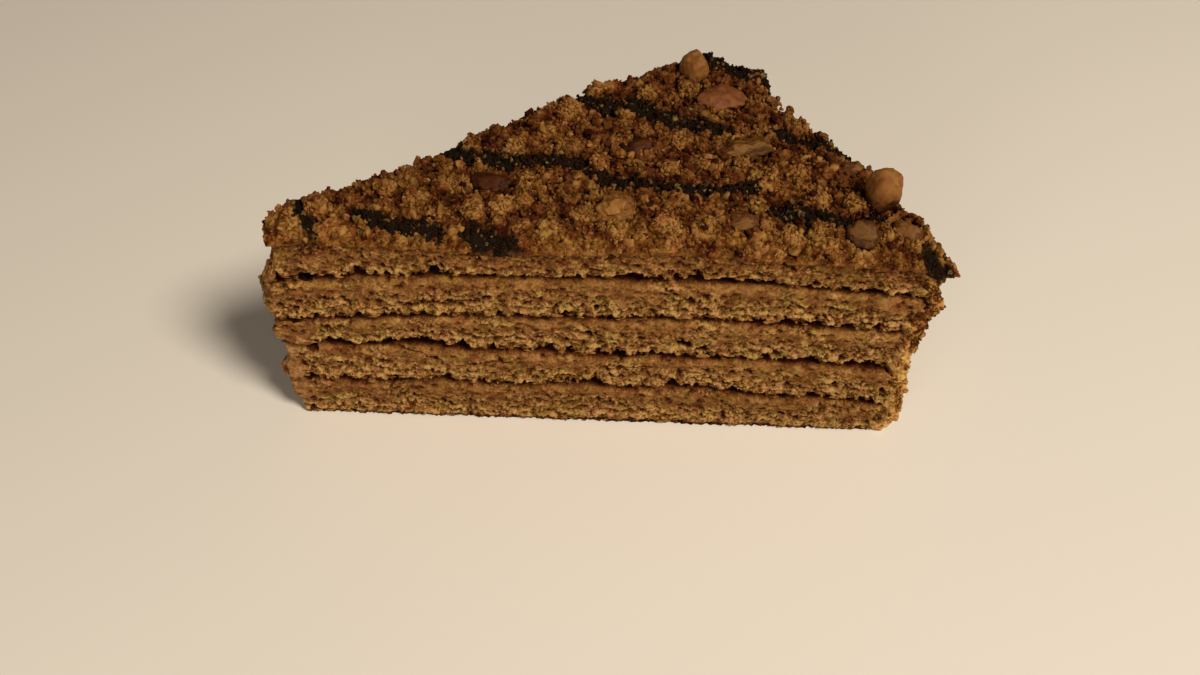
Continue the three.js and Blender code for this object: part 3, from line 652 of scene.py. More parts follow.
def build_pair(k):
    v = np.linspace(0, 1, ROWS)[:, None]
    rb = int(round(SPLIT * (ROWS - 1)))
    blend = smooth((v - 0.36) / 0.30)
    lo, hi = OFFSETS[("sponge", k)], OFFSETS[("cream", k)]
    tf, tb, fr, bk = [lo[i] * (1 - blend) + hi[i] * blend for i in range(4)]
    base_z = SEAMS[k - 1][0] + v * (SEAMS[k][0] - SEAMS[k - 1][0])
    up = np.concatenate([0 * base_z, 0 * base_z + 7, base_z], -1)
    end = table(RIM_PROFILE, base_z) - 2.7 + (0.9 * noise(up / 1.7, 395) + 0.6 * noise(up / 0.6, 396))[:, None]
    plan, nrm = perimeter(tf, tb, fr, bk, end)
    s, t = plan[..., 0], plan[..., 1]
    flat = k == 1
    low_seam, high_seam = seam(k - 1, s, t), seam(k, s, t)
    layer = np.full_like(s, 5.0 * k)
    if flat:
        low = np.zeros_like(s)
        low_gap = np.zeros_like(s)
    else:
        wide, arch = crevice(k - 1, s, t)
        teeth = 0.36 * noise(np.stack([s / 1.15, t / 1.15, layer], -1), 310) \
            + 0.34 * noise(np.stack([s / 0.50, t / 0.50, layer], -1), 312)
        low_gap = np.maximum(wide * 0.55 + arch + teeth, -0.1) * (1 - 0.9 * smear(s, t, low_seam))
        low = low_seam + low_gap
    if k < 5:
        wide, arch = crevice(k, s, t)
        high_gap = (wide * 0.45 + 0.08 * noise(np.stack([s / 2.6, t / 2.6, layer], -1), 311)) * (1 - 0.9 * smear(s, t, high_seam))
        high = high_seam - high_gap
    else:
        high = high_seam + CREAM_TOP_DROP - 0.15 + 0.25 * flat_noise(s, t, 1.6, 313)
    z = low + v * (high - low)
    wander = 0.80 * noise(np.stack([s / 4.6, t / 4.6, layer], -1), 320) + 0.45 * noise(np.stack([s / 1.5, t / 1.5, layer], -1), 321)
    z = z + wander * smooth(v / SPLIT) * smooth((1 - v) / (1 - SPLIT))
    p = np.stack([s, t, z], -1)
    sm = smear(s, t, z)
    patchy = noise(p / np.array([6.0, 6.0, 2.6]), 330) + 0.5 * noise(p / np.array([2.0, 2.0, 1.3]), 332)
    mask = smooth((0.58 + 0.30 * patchy - v) / 0.32 + 0.5)
    torn = smooth((noise(p / np.array([7.0, 7.0, 3.0]), 331) - 0.08) / 0.25) * 0.8
    mask = np.clip(mask + torn, 0, 1)
    if k == 5:
        mask = np.clip(0.95 - 0.62 * smooth((v - 0.20) / 0.25) + 0.35 * patchy, 0.12, 1)
    mask = mask * (1 - sm)
    d_sp = crumb_relief(p, 340)
    d_cr = cream_relief(p, 380)
    depth = mask * d_sp + (1 - mask) * (0.20 + 0.34 * d_sp * (1 - sm) + d_cr)
    front = smooth((4.0 - t) / 2.0)
    tear = np.zeros_like(s)
    for hs, hz, ha, hb, hd in HOLES:
        near = (np.abs(s - hs) < ha * 2) & (np.abs(z - hz) < hb * 2.4)
        if near.any():
            ds = (s[near] - hs) / ha
            dz = (z[near] - hz) / hb
            wob = 0.35 * noise(p[near] / 0.55, 350)
            tear[near] = np.maximum(tear[near], hd * smooth((1.15 - np.sqrt(ds ** 2 + dz ** 2) + wob) / 0.6))
    for line, half, deep in CRACKS:
        ls, lz = np.array(line).T
        zc = np.interp(s, ls, lz) + 0.12 * noise(p / 1.1, 351)
        along = smooth((s - ls[0]) / 1.5) * smooth((ls[-1] - s) / 1.5)
        h = half * (0.8 + 0.7 * noise(p / 1.3, 352))
        tear = np.maximum(tear, deep * along * smooth((h - np.abs(z - zc)) / 0.2 + 0.5) * (np.abs(z - zc) < 1.5))
    depth = depth + tear * front
    if flat:
        depth = depth * (0.4 + 0.6 * smooth((v - 0.02) / 0.14))
    slow = 0.30 * noise(p / 9.0, 391)
    lip = 0.80 * smooth((v - 0.88) / 0.12) ** 1.5 if k < 5 else 0.8 * np.clip((v - 0.62) / 0.38, 0, 1) ** 1.7
    ragged = 0.5 + 0.9 * smooth(0.5 + 1.2 * noise(np.stack([s / 0.9, t / 0.9, layer], -1), 393))
    foot = (0.3 if flat else 0.95) * smooth((0.15 - v) / 0.15) * ragged
    depth_all = depth + slow + (lip + foot) * (1 - 0.8 * sm)
    out = np.empty(p.shape)
    out[..., :2] = p[..., :2] - nrm * depth_all[..., None]
    out[..., 2] = z + mask * 0.15 * noise(p / 0.7, 392) * smooth(v / 0.05) * smooth((1 - v) / 0.05)
    if flat:
        out[..., 2] = np.maximum(out[..., 2], 0.0)
    level = blur_rows(blur_columns(depth, 24), 12)
    # painted shade: deeper pits and broad hollows darker, and darker where the cream meets the open seam above
    shade_and_tone = 0.40 + 0.70 * (depth - level) + 0.34 * (level - 0.65) + 0.25 * smooth((v - 0.95) / 0.05) * (k < 5)
    # darker ragged band along each sponge's underside: browned crust and painted shade
    shade_and_tone = shade_and_tone + 0.25 * smooth((0.10 - v) / 0.10) * ragged
    shade_and_tone = shade_and_tone - (0.09 + 0.18 * noise(p / 1.6, 397)) * smooth((0.38 - v) / 0.14) * smooth((v - 0.05) / 0.06) * mask
    # darker along the bottom edge: browned crust and painted contact shade; the upper part a touch browner
    if flat:
        shade_and_tone = shade_and_tone + 0.42 * smooth((0.12 - v) / 0.09) + 0.06 * smooth((v - 0.45) / 0.15)
    # torn holes and cracks painted dark for the shade inside them; the top band a little browner
    shade_and_tone = shade_and_tone + 0.32 * tear * front + 0.06 * (k == 5)
    # paler strip along the top of each cream band: painted highlight on its lip
    if k < 5:
        shade_and_tone = shade_and_tone - 0.08 * smooth((v - 0.78) / 0.08) * smooth((0.96 - v) / 0.06)
    tone = mask
    WALLS[k] = (out, nrm, mask)

    # dark is the painted shade given to a ledge set back in a seam or under the slice
    def ledge(row, deep, dz, dark):
        q = out[row].copy()
        q[:, :2] -= nrm[row] * deep
        q[:, 2] += dz
        return q, np.full(COLS, dark)

    # sponge: ledge under it, wall, lid inside; the ledges carry painted shade, darkest deep in the seam
    rows = []
    if flat:
        q, c = ledge(0, 0.9, 0.0, 0.7)
        q[:, 2] = 0.0
        rows.append((q, c, mask[0], sm[0]))
    else:
        g = np.maximum(low_gap[0], 0)
        for deep, share, dark in ((3.4, 0.97, 1.0), (1.6, 0.62, 1.0), (0.6, 0.22, 0.9)):
            rows.append((*ledge(0, deep, -share * g, dark), mask[0], sm[0]))
    rows += [(out[r], shade_and_tone[r], tone[r], sm[r]) for r in range(rb + 1)]
    rows.append((*ledge(rb, 2.6, -0.03, 0.6), tone[rb], sm[rb]))
    close_sheet(*zip(*rows), f"sponge_sheet_{k}", SPONGE, "sponge", f"sponge_{k}")
    # cream: floor inside, wall, ledge on top; the ledges carry painted shade, darkest deep in the seam
    rows = [(*ledge(rb, 2.6, 0.03, 0.6), tone[rb], sm[rb])]
    rows += [(out[r], shade_and_tone[r], tone[r], sm[r]) for r in range(rb, ROWS)]
    if k < 5:
        g = high_gap[-1]
        for deep, share, dark in ((0.5, 0.15, 0.75), (1.6, 0.60, 0.95), (3.4, 0.97, 1.0)):
            rows.append((*ledge(ROWS - 1, deep, share * g, dark), mask[-1], sm[-1]))
    else:
        rows.append((*ledge(ROWS - 1, 0.7, 0.15, 0.45), mask[-1], sm[-1]))
        rows.append((*ledge(ROWS - 1, 3.0, -1.2, 0.6), mask[-1], sm[-1]))
    close_sheet(*zip(*rows), f"cream_sheet_{k}", CREAM, "cream", f"cream_{k}")


for k in range(1, 6):
    build_pair(k)

# --------------------------------------------------------------------------
# Grains: jagged lumps of a few faces, copied at many sizes
# --------------------------------------------------------------------------
rng = np.random.default_rng(20417)


def grain_shape(level, spread):
    v, f = ico(level)
    r = 1 + spread * rng.uniform(-1, 1, len(v))
    if level > 1:
        r = 1 + 0.45 * noise(v * 1.3 + rng.uniform(0, 50, 3), 500) + spread * rng.uniform(-1, 1, len(v))
    v = v * r[:, None] * rng.uniform(0.70, 1.30, 3)
    size = np.linalg.norm(v, axis=1)
    # painted shade in the dents of each grain, paler on its knobs
    return v, f, 0.40 - 0.55 * (size - size.mean())


SHAPES = {1: [grain_shape(1, 0.46) for _ in range(14)], 2: [grain_shape(2, 0.27) for _ in range(10)]}


def turns(n):
    """Random rotations, (n, 3, 3)."""
    q = rng.normal(size=(n, 4))
    q /= np.linalg.norm(q, axis=1, keepdims=True)
    w, x, y, z = q.T
    return np.stack([
        np.stack([1 - 2 * (y * y + z * z), 2 * (x * y - z * w), 2 * (x * z + y * w)], -1),
        np.stack([2 * (x * y + z * w), 1 - 2 * (x * x + z * z), 2 * (y * z - x * w)], -1),
        np.stack([2 * (x * z - y * w), 2 * (y * z + x * w), 1 - 2 * (x * x + y * y)], -1)], 1)


def strew(name, level, centres, radii, tones, chocs, material, shade_and_tone_add=0.0, stretch=(1.0, 1.0, 1.0)):
    """Joined mesh of grains at the given places."""
    shapes = SHAPES[level]
    n = len(centres)
    which = rng.integers(0, len(shapes), n)
    rot = turns(n)
    shade_and_tone_add = np.broadcast_to(shade_and_tone_add, (n,))
    vs, fs, cv, tn, ch = [], [], [], [], []
    start = 0
    for w in range(len(shapes)):
        pick = np.nonzero(which == w)[0]
        if not len(pick):
            continue
        v, f, c = shapes[w]
        pts = np.einsum("nij,mj->nmi", rot[pick], v) * radii[pick][:, None, None] * np.array(stretch) + centres[pick][:, None, :]
        vs.append(pts.reshape(-1, 3))
        fs.append((f[None] + (start + np.arange(len(pick)) * len(v))[:, None, None]).reshape(-1, 3))
        cv.append((c[None] + shade_and_tone_add[pick][:, None]).ravel())
        tn.append(np.repeat(tones[pick], len(v)))
        ch.append(np.repeat(chocs[pick], len(v)))
        start += len(pick) * len(v)
    return make_mesh(name, np.concatenate(vs), [np.concatenate(fs)],
                     {"shade_and_tone": np.clip(np.concatenate(cv), 0, 1), "tone": np.concatenate(tn), "choc": np.concatenate(ch)},
                     material)


# --------------------------------------------------------------------------
# Dark drizzle: streaks as runs of plan points (s, t), with half width
# --------------------------------------------------------------------------
STREAKS = [
    ([(28.0, 20.9), (32.8, 19.6), (38.8, 19.1), (44.7, 18.9), (51.2, 18.4)], 1.55),
    ([(53.3, 16.2), (57.5, 14.2), (63.3, 13.3), (69.9, 12.6), (75.7, 12.9), (80.7, 13.7)], 1.15),
    ([(51.4, 34.4), (55.4, 33.5), (60.7, 33.8), (64.3, 31.5), (69.5, 29.8), (75.6, 29.0)], 1.85),
    ([(16.4, 4.4), (18.8, 4.1), (22.2, 3.0), (26.7, 2.6), (29.6, 1.9)], 1.4),
    ([(34.5, 1.9), (38.1, 0.9), (41.0, 0.1)], 1.7),
    ([(84.2, 9.0), (88.5, 8.3), (91.7, 7.7), (95.2, 5.8)], 1.75),
    ([(98.5, 6.8), (101.5, 8.7)], 1.2),
    ([(71.9, 48.8), (75.9, 46.7), (79.7, 44.5), (84.3, 41.8)], 1.9),
    ([(85.5, 29.5), (89.4, 26.5), (92.8, 26.1)], 1.1),
    ([(90.5, 27.1), (95.7, 23.6), (98.5, 21.7)], 0.9),
    ([(107.2, 1.5), (108.8, -0.1), (110.8, -0.9)], 1.1),
    ([(6.4, 7.0), (7.6, 3.6), (9.6, 1.0)], 0.9),
]


def resample(points, step):
    """Smooth curve through plan points, at an even step."""
    p = np.array(points, float)
    ext = np.vstack([2 * p[0] - p[1], p, 2 * p[-1] - p[-2]])
    out = []
    for i in range(1, len(ext) - 2):
        for u in np.linspace(0, 1, 24, endpoint=False):
            a, b, c, d = ext[i - 1], ext[i], ext[i + 1], ext[i + 2]
            out.append(0.5 * ((2 * b) + (c - a) * u + (2 * a - 5 * b + 4 * c - d) * u * u + (3 * b - a - 3 * c + d) * u ** 3))
    out.append(ext[-2])
    out = np.array(out)
    length = np.concatenate([[0], np.cumsum(np.linalg.norm(np.diff(out, axis=0), axis=1))])
    n = max(4, int(length[-1] / step))
    at = np.linspace(0, length[-1], n + 1)
    return np.stack([np.interp(at, length, out[:, 0]), np.interp(at, length, out[:, 1])], -1)


STREAK_LINES = [(resample(pts, 0.5), w) for pts, w in STREAKS]


def streak_mask(s, t):
    """1 in the middle of a streak, 0 away from it."""
    q = np.stack([s, t], -1).reshape(-1, 2)
    best = np.full(len(q), -9.0)
    wob = 0.95 * flat_noise(q[:, 0], q[:, 1], 2.4, 601) + 0.60 * flat_noise(q[:, 0], q[:, 1], 0.9, 602)
    for line, w in STREAK_LINES:
        lo, hi = line.min(0) - 4, line.max(0) + 4
        near = np.all((q > lo) & (q < hi), axis=1)
        if not near.any():
            continue
        d = np.sqrt(((q[near, None, :] - line[None]) ** 2).sum(-1)).min(1)
        best[near] = np.maximum(best[near], (w + wob[near] - d) / 0.45)
    return smooth(0.5 + 0.5 * best).reshape(s.shape)


# --------------------------------------------------------------------------
# Crumb topping: core relief and the crumbs on it
# --------------------------------------------------------------------------


def topping_outline():
    pts, nrm = [], []
    f0 = np.array([2.2, 0.0])
    f1 = rim_point(0.0, 0.6)
    for u in np.linspace(0, 1, 150, endpoint=False):
        p = f0 * (1 - u) + f1 * u
        pts.append([p[0], 0.10]); nrm.append([0, -1.0])
    for u in np.linspace(0, 1, 90, endpoint=False):
        p = rim_point(u, 0.6)
        d = p - CAKE_AXIS
        pts.append(p); nrm.append(d / np.hypot(*d))
    b0, b1 = rim_point(1.0, 0.6), np.array([2.0, TIP_WIDTH + BACK_SLOPE * 2.0 * 0.6])
    for u in np.linspace(0, 1, 110, endpoint=False):
        pts.append(b0 * (1 - u) + b1 * u - BACK_N * 0.1); nrm.append(BACK_N)
    for u in np.linspace(0, 1, 8, endpoint=False):
        pts.append([2.2 + 0.2 * u - 0.4 * math.sin(math.pi * u), (b1[1] - 0.1) * (1 - u) + 0.35 * u])
        nrm.append([-1.0, 0.0])
    pts, nrm = np.array(pts), np.array(nrm)
    for _ in range(6):
        nrm = (np.roll(nrm, 1, 0) + 2 * nrm + np.roll(nrm, -1, 0)) / 4
    nrm /= np.linalg.norm(nrm, axis=1, keepdims=True)
    out = 0.45 * flat_noise(pts[:, 0], pts[:, 1], 3.1, 610) + 0.30 * flat_noise(pts[:, 0], pts[:, 1], 1.3, 611)
    drop = np.zeros(len(pts))
    for ls, lt, reach, push, fall in TOP_LUMPS:
        w = smooth(1 - np.hypot(pts[:, 0] - ls, pts[:, 1] - lt) / reach)
        out += push * w
        drop += fall * w
    return pts + nrm * out[:, None], drop


OUTLINE, DROP = topping_outline()


def in_outline(s, t):
    a, b = OUTLINE, np.roll(OUTLINE, -1, 0)
    hit = np.zeros(s.shape, bool)
    for (x0, y0), (x1, y1) in zip(a, b):
        if y0 == y1:
            continue
        hit ^= ((y0 > t) != (y1 > t)) & (s < (x1 - x0) * (t - y0) / (y1 - y0) + x0)
    return hit


def to_outline(s, t):
    """Distance to the outline, its nearest point, and the drop there."""
    a, b = OUTLINE, np.roll(OUTLINE, -1, 0)
    q = np.stack([s, t], -1).reshape(-1, 2)
    best = np.full(len(q), 1e9)
    near = np.zeros((len(q), 2))
    drop = np.zeros(len(q))
    for i in range(len(a)):
        d = b[i] - a[i]
        u = np.clip(((q - a[i]) @ d) / (d @ d), 0, 1)
        c = a[i] + u[:, None] * d
        dist = ((q - c) ** 2).sum(1)
        m = dist < best
        best = np.where(m, dist, best)
        near[m] = c[m]
        drop[m] = DROP[i]
    return np.sqrt(best).reshape(s.shape), near.reshape(*s.shape, 2), drop.reshape(s.shape)


NUT_PLACES = {}
for n in range(1, 12):
    shift = np.array([ORIGIN_S, ORIGIN_T, 0])
    lo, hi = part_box(f"walnut_{n}")
    lo, hi = np.array(lo) * 1000 + shift, np.array(hi) * 1000 + shift
    if n == 4:
        lo, hi = lo - [0.0, 1.4, 1.2], hi - [0.0, 1.4, -0.5]
    if n == 1:
        lo, hi = lo + [0.3, 0.2, 0.0], hi - [0.3, 0.2, 0.0]
    NUT_PLACES[n] = (lo, hi)


def nut_dip(s, t):
    """How much of the heap gives way to the walnut pieces, 0..1."""
    out = np.zeros(s.shape)
    for lo, hi in NUT_PLACES.values():
        c, h = (lo + hi) / 2, (hi - lo) / 2
        d = np.sqrt(((s - c[0]) / h[0]) ** 2 + ((t - c[1]) / h[1]) ** 2)
        out = np.maximum(out, smooth((1.14 - d) / 0.35))
    return out


# Clumps that stand out of the heap: s, t, radius, height, tone
CLUMPS = [
    (43.2, 12.6, 2.5, 1.7, 0.95), (39.0, 7.8, 2.0, 1.3, 1.0), (65.8, 4.2, 2.3, 1.6, 1.0), (34.6, 6.2, 2.0, 1.4, 1.0),
    (49.2, 31.0, 2.3, 1.9, 0.8), (46.2, 32.0, 1.4, 1.2, 1.0), (25.0, 8.2, 2.2, 1.5, 0.9), (45.7, 26.4, 1.4, 1.2, 0.9),
    (82.4, 15.6, 2.7, 1.7, 1.0), (91.1, 12.4, 2.1, 1.4, 0.85), (80.6, 9.4, 1.9, 1.3, 0.85), (91.3, 3.2, 2.6, 1.6, 0.85),
    (104.4, 3.6, 1.6, 1.2, 0.9), (53.8, 38.2, 2.2, 1.5, 0.95), (54.7, 18.6, 1.7, 1.2, 0.95), (42.7, 8.6, 1.6, 1.3, 0.9),
    (40.2, 23.0, 1.8, 1.3, 0.95), (32.2, 12.2, 1.9, 1.3, 0.85), (59.1, 31.0, 1.5, 1.1, 0.9), (68.5, 24.8, 1.9, 1.3, 0.85),
    (62.8, 37.4, 2.1, 1.4, 0.8), (10.4, 4.0, 1.9, 1.6, 0.95), (6.0, 1.7, 1.7, 1.3, 1.0), (19.7, 10.7, 1.9, 1.5, 1.0),
    (13.0, 1.6, 1.5, 1.0, 0.9), (15.2, 7.3, 1.5, 1.1, 0.6), (20.9, 1.6, 1.5, 1.0, 0.75), (73.5, 19.4, 1.8, 1.2, 0.9),
    (52.4, 5.4, 2.0, 1.3, 0.9), (58.0, 3.2, 1.8, 1.2, 0.95), (72.4, 3.6, 2.1, 1.3, 0.9), (86.0, 3.4, 1.9, 1.2, 0.9),
    (97.0, 11.0, 1.8, 1.2, 0.75), (88.6, 18.2, 2.0, 1.3, 0.8), (77.6, 34.0, 1.8, 1.2, 0.7), (70.5, 40.0, 2.0, 1.3, 0.7),
    (83.5, 42.5, 2.1, 1.3, 0.5), (85.6, 38.0, 1.9, 1.2, 0.5), (90.0, 30.6, 1.7, 1.3, 0.7), (94.3, 25.8, 1.4, 1.0, 0.7),
    (107.3, 5.6, 1.5, 1.1, 0.85), (29.0, 4.8, 1.6, 1.1, 0.9), (47.0, 2.6, 1.8, 1.2, 0.9), (28.4, 17.0, 1.7, 1.2, 0.6),
    (22.8, 14.6, 1.5, 1.1, 0.6), (58.6, 24.6, 1.8, 1.2, 0.7), (48.6, 22.6, 1.6, 1.1, 0.5), (66.5, 17.2, 1.8, 1.2, 0.8),
    (75.4, 24.6, 1.6, 1.1, 0.6), (79.0, 20.5, 1.7, 1.1, 0.7), (62.0, 26.8, 1.6, 1.1, 0.5), (56.5, 10.2, 1.8, 1.2, 0.6),
]


def top_tone(s, t):
    """Pale golden areas near 1, red-brown ones near 0."""
    a = 0.50 + 0.60 * flat_noise(s, t, 5.5, 701) + 0.65 * flat_noise(s, t, 2.4, 702) + 0.40 * flat_noise(s, t, 1.1, 703)
    a = a - 0.20 * smooth((t - 22) / 22) + 0.55 * smooth((4.6 + 1.6 * flat_noise(s, t, 3.0, 704) - t) / 3.0)
    for cs, ct, r, _, tone in CLUMPS:
        w = smooth((1.25 - np.hypot(s - cs, t - ct) / r) / 0.5)
        a = a * (1 - w) + tone * w
    return np.clip(a, 0, 1)


def core_height(s, t):
    """Top of the heap's core."""
    q = np.stack([s, t, np.zeros_like(s)], -1)
    rise = smooth((t + 1.0) / 6.0) * smooth((inside(s, np.maximum(t, 4.0)) + 2.5) / 3.0)
    base = np.maximum(seam(5, s, t), CREAM_TOP) + CREAM_TOP_DROP - 0.25 + 1.7 * rise
    for ms, mt, reach, tall in MOUNDS:
        base = base + tall * smooth(1.25 - np.hypot(s - ms, t - mt) / reach)
    ws = s + 0.50 * noise(q / 1.4, 621) + 0.25 * noise(q / 0.6, 623)
    wt = t + 0.50 * noise(q / 1.4, 622) + 0.25 * noise(q / 0.6, 624)
    a, _ = domes(ws, wt, 3.9, 630, 1.0, 2.4, 0.85)
    b, _ = domes(ws + 3, wt, 2.0, 640, 0.5, 1.25, 0.85)
    c, _ = domes(ws, wt + 5, 0.95, 650, 0.28, 0.58, 0.95)
    d, _ = domes(ws, wt, 0.56, 660, 0.15, 0.36, 0.95)
    f, r1, r2 = worley(q / 1.5, 665)
    pit = np.clip(1 - f / 0.42, 0, 1) * (0.3 + 1.0 * r2) * (r1 > 0.4)
    h = base + 0.45 * noise(q / 6.0, 620) + np.maximum(a * 0.50, b * 0.62) + 0.75 * c + 0.65 * d - pit
    lobes = 0.9 * flat_noise(ws, wt, 1.7, 625)
    for cs, ct, r, tall, _ in CLUMPS:
        dd = (np.hypot(s - cs, t - ct) / (r * 0.95) + 0.25 * lobes) ** 2
        h = np.where(dd < 1, np.maximum(h, base + 0.35 + (tall - 0.3) * np.sqrt(np.maximum(1 - dd, 0)) ** 0.8
                                        + 0.4 * lobes + 0.7 * c + 0.5 * d), h)
    return h


def top_surface(s, t):
    """Height of the core with its edges and dips, and the distance to the outline."""
    dist, near, drop = to_outline(s, t)
    floor = seam(5, s, t) - 0.15
    h = core_height(s, t) - nut_dip(s, t) * 2.3 - 0.35 * streak_mask(s, t)
    fall = smooth((dist + 0.25) / 1.4)
    z = floor + 1.0 + (h - floor - 1.0) * (0.25 + 0.75 * fall) - 0.6 * drop * smooth(1 - dist / 4.0)
    return z, dist, near


def build_core():
    step = 0.225
    gs = np.arange(-2.0, 118.0, step)
    gt = np.arange(-4.0, 57.0, step)
    S, T = np.meshgrid(gs, gt, indexing="xy")
    cells = in_outline(S[:-1, :-1] + step / 2, T[:-1, :-1] + step / 2)
    used = np.zeros(S.shape, bool)
    used[:-1, :-1] |= cells
    used[1:, :-1] |= cells
    used[:-1, 1:] |= cells
    used[1:, 1:] |= cells
    index = np.full(S.shape, -1)
    index[used] = np.arange(used.sum())
    s, t = S[used], T[used]
    pad = np.zeros((S.shape[0] + 1, S.shape[1] + 1), bool)
    pad[1:-1, 1:-1] = cells
    full = pad[:-1, :-1] & pad[1:, :-1] & pad[:-1, 1:] & pad[1:, 1:]
    e = (used & ~full)[used]
    _, near, _ = to_outline(s, t)
    js, jt = s + 0.07 * flat_noise(s, t, 0.5, 670), t + 0.07 * flat_noise(s, t, 0.5, 671)
    s = np.where(e, near[:, 0], js)
    t = np.where(e, near[:, 1], jt)
    z, dist, _ = top_surface(s, t)
    choc = streak_mask(s, t)
    relief = core_height(S, T)
    level = blur_rows(blur_columns(relief, 20, False), 20)
    broad = blur_rows(blur_columns(relief, 160, False), 160)
    # painted shade: the heap's hollows darker and its lumps paler; paler along the front edge
    shade_and_tone = 0.50 - 0.70 * (relief - level) - 0.34 * (level - broad) - 0.12 * smooth((4.0 - T) / 3.0)
    shade_and_tone = np.clip(shade_and_tone, 0, 1)[used]
    quads = np.stack([index[:-1, :-1][cells], index[:-1, 1:][cells], index[1:, 1:][cells], index[1:, :-1][cells]], -1)
    edges = np.concatenate([quads[:, [0, 1]], quads[:, [1, 2]], quads[:, [2, 3]], quads[:, [3, 0]]])
    have = set(map(tuple, edges.tolist()))
    nxt = {u: v for u, v in sorted(have) if (v, u) not in have}
    loops, seen = [], set()
    for first in list(nxt):
        loop, cur = [], first
        while cur not in seen:
            seen.add(cur)
            loop.append(cur)
            cur = nxt[cur]
        loops.append(loop)
    loop = np.array(max(loops, key=len))
    verts = np.stack([s, t, z], -1)
    ring = verts[loop]
    tang = np.roll(ring[:, :2], -4, 0) - np.roll(ring[:, :2], 4, 0)
    nrm = np.stack([tang[:, 1], -tang[:, 0]], -1)
    nrm /= np.maximum(np.linalg.norm(nrm, axis=1, keepdims=True), 1e-6)
    fl = seam(5, ring[:, 0], ring[:, 1]) - 0.15
    rows = []
    for share, out in ((0.72, 0.15), (0.42, 0.20), (0.14, 0.0), (0.0, -0.9), (-0.05, -1.8)):
        q = ring.copy()
        bump = 0.28 * noise(np.c_[ring[:, :2] / 0.8, np.full(len(ring), share * 3)], 680) * (share > 0)
        q[:, :2] += nrm * (out + bump)[:, None]
        q[:, 2] = fl + (ring[:, 2] - fl) * share
        rows.append(q)
    n0, m = len(verts), len(loop)
    c2 = (np.arange(m) + 1) % m
    faces = [quads]
    prev = loop
    for r in range(len(rows)):
        cur = n0 + r * m + np.arange(m)
        faces.append(np.stack([cur, cur[c2], prev[c2], prev], -1))
        prev = cur
    faces.append(np.stack([prev[c2], prev, np.full(m, n0 + len(rows) * m)], -1))
    verts = np.concatenate([verts, *rows, [[CENTRE[0], CENTRE[1], CREAM_TOP]]])
    wall_shade_and_tone = np.concatenate([0.45 + 0.25 * noise(r / 0.9, 690) for r in rows] + [[0.8]])
    tone = np.concatenate([top_tone(s, t), np.tile(top_tone(ring[:, 0], ring[:, 1]), len(rows)), [0.5]])
    ch = np.concatenate([choc * 0.95, np.tile(choc[loop] * 0.6, len(rows)), [0.0]])
    make_mesh("crumb_core", verts, faces, {"shade_and_tone": np.concatenate([shade_and_tone, np.clip(wall_shade_and_tone, 0, 1)]), "tone": tone, "choc": ch},
              CRUMB, ("crumb_topping",))


build_core()


def places(n, seed):
    """Random plan points on the heap, clear of the walnut pieces."""
    g = np.random.default_rng(seed)
    s, t = g.uniform(1.0, 114.0, n * 5), g.uniform(-1.5, 55.0, n * 5)
    ok = in_outline(s, t)
    s, t = s[ok][:n], t[ok][:n]
    ok = nut_dip(s, t) < 0.25
    return s[ok], t[ok], g


def grain_tones(c, g):
    return np.clip(top_tone(c[:, 0], c[:, 1]) + 0.40 * (g.uniform(size=len(c)) - 0.5), 0, 1)


def grain_choc(c, g, share):
    m = streak_mask(c[:, 0], c[:, 1])
    return ((m > 0.3) & (g.uniform(size=len(c)) < share)) * 0.97


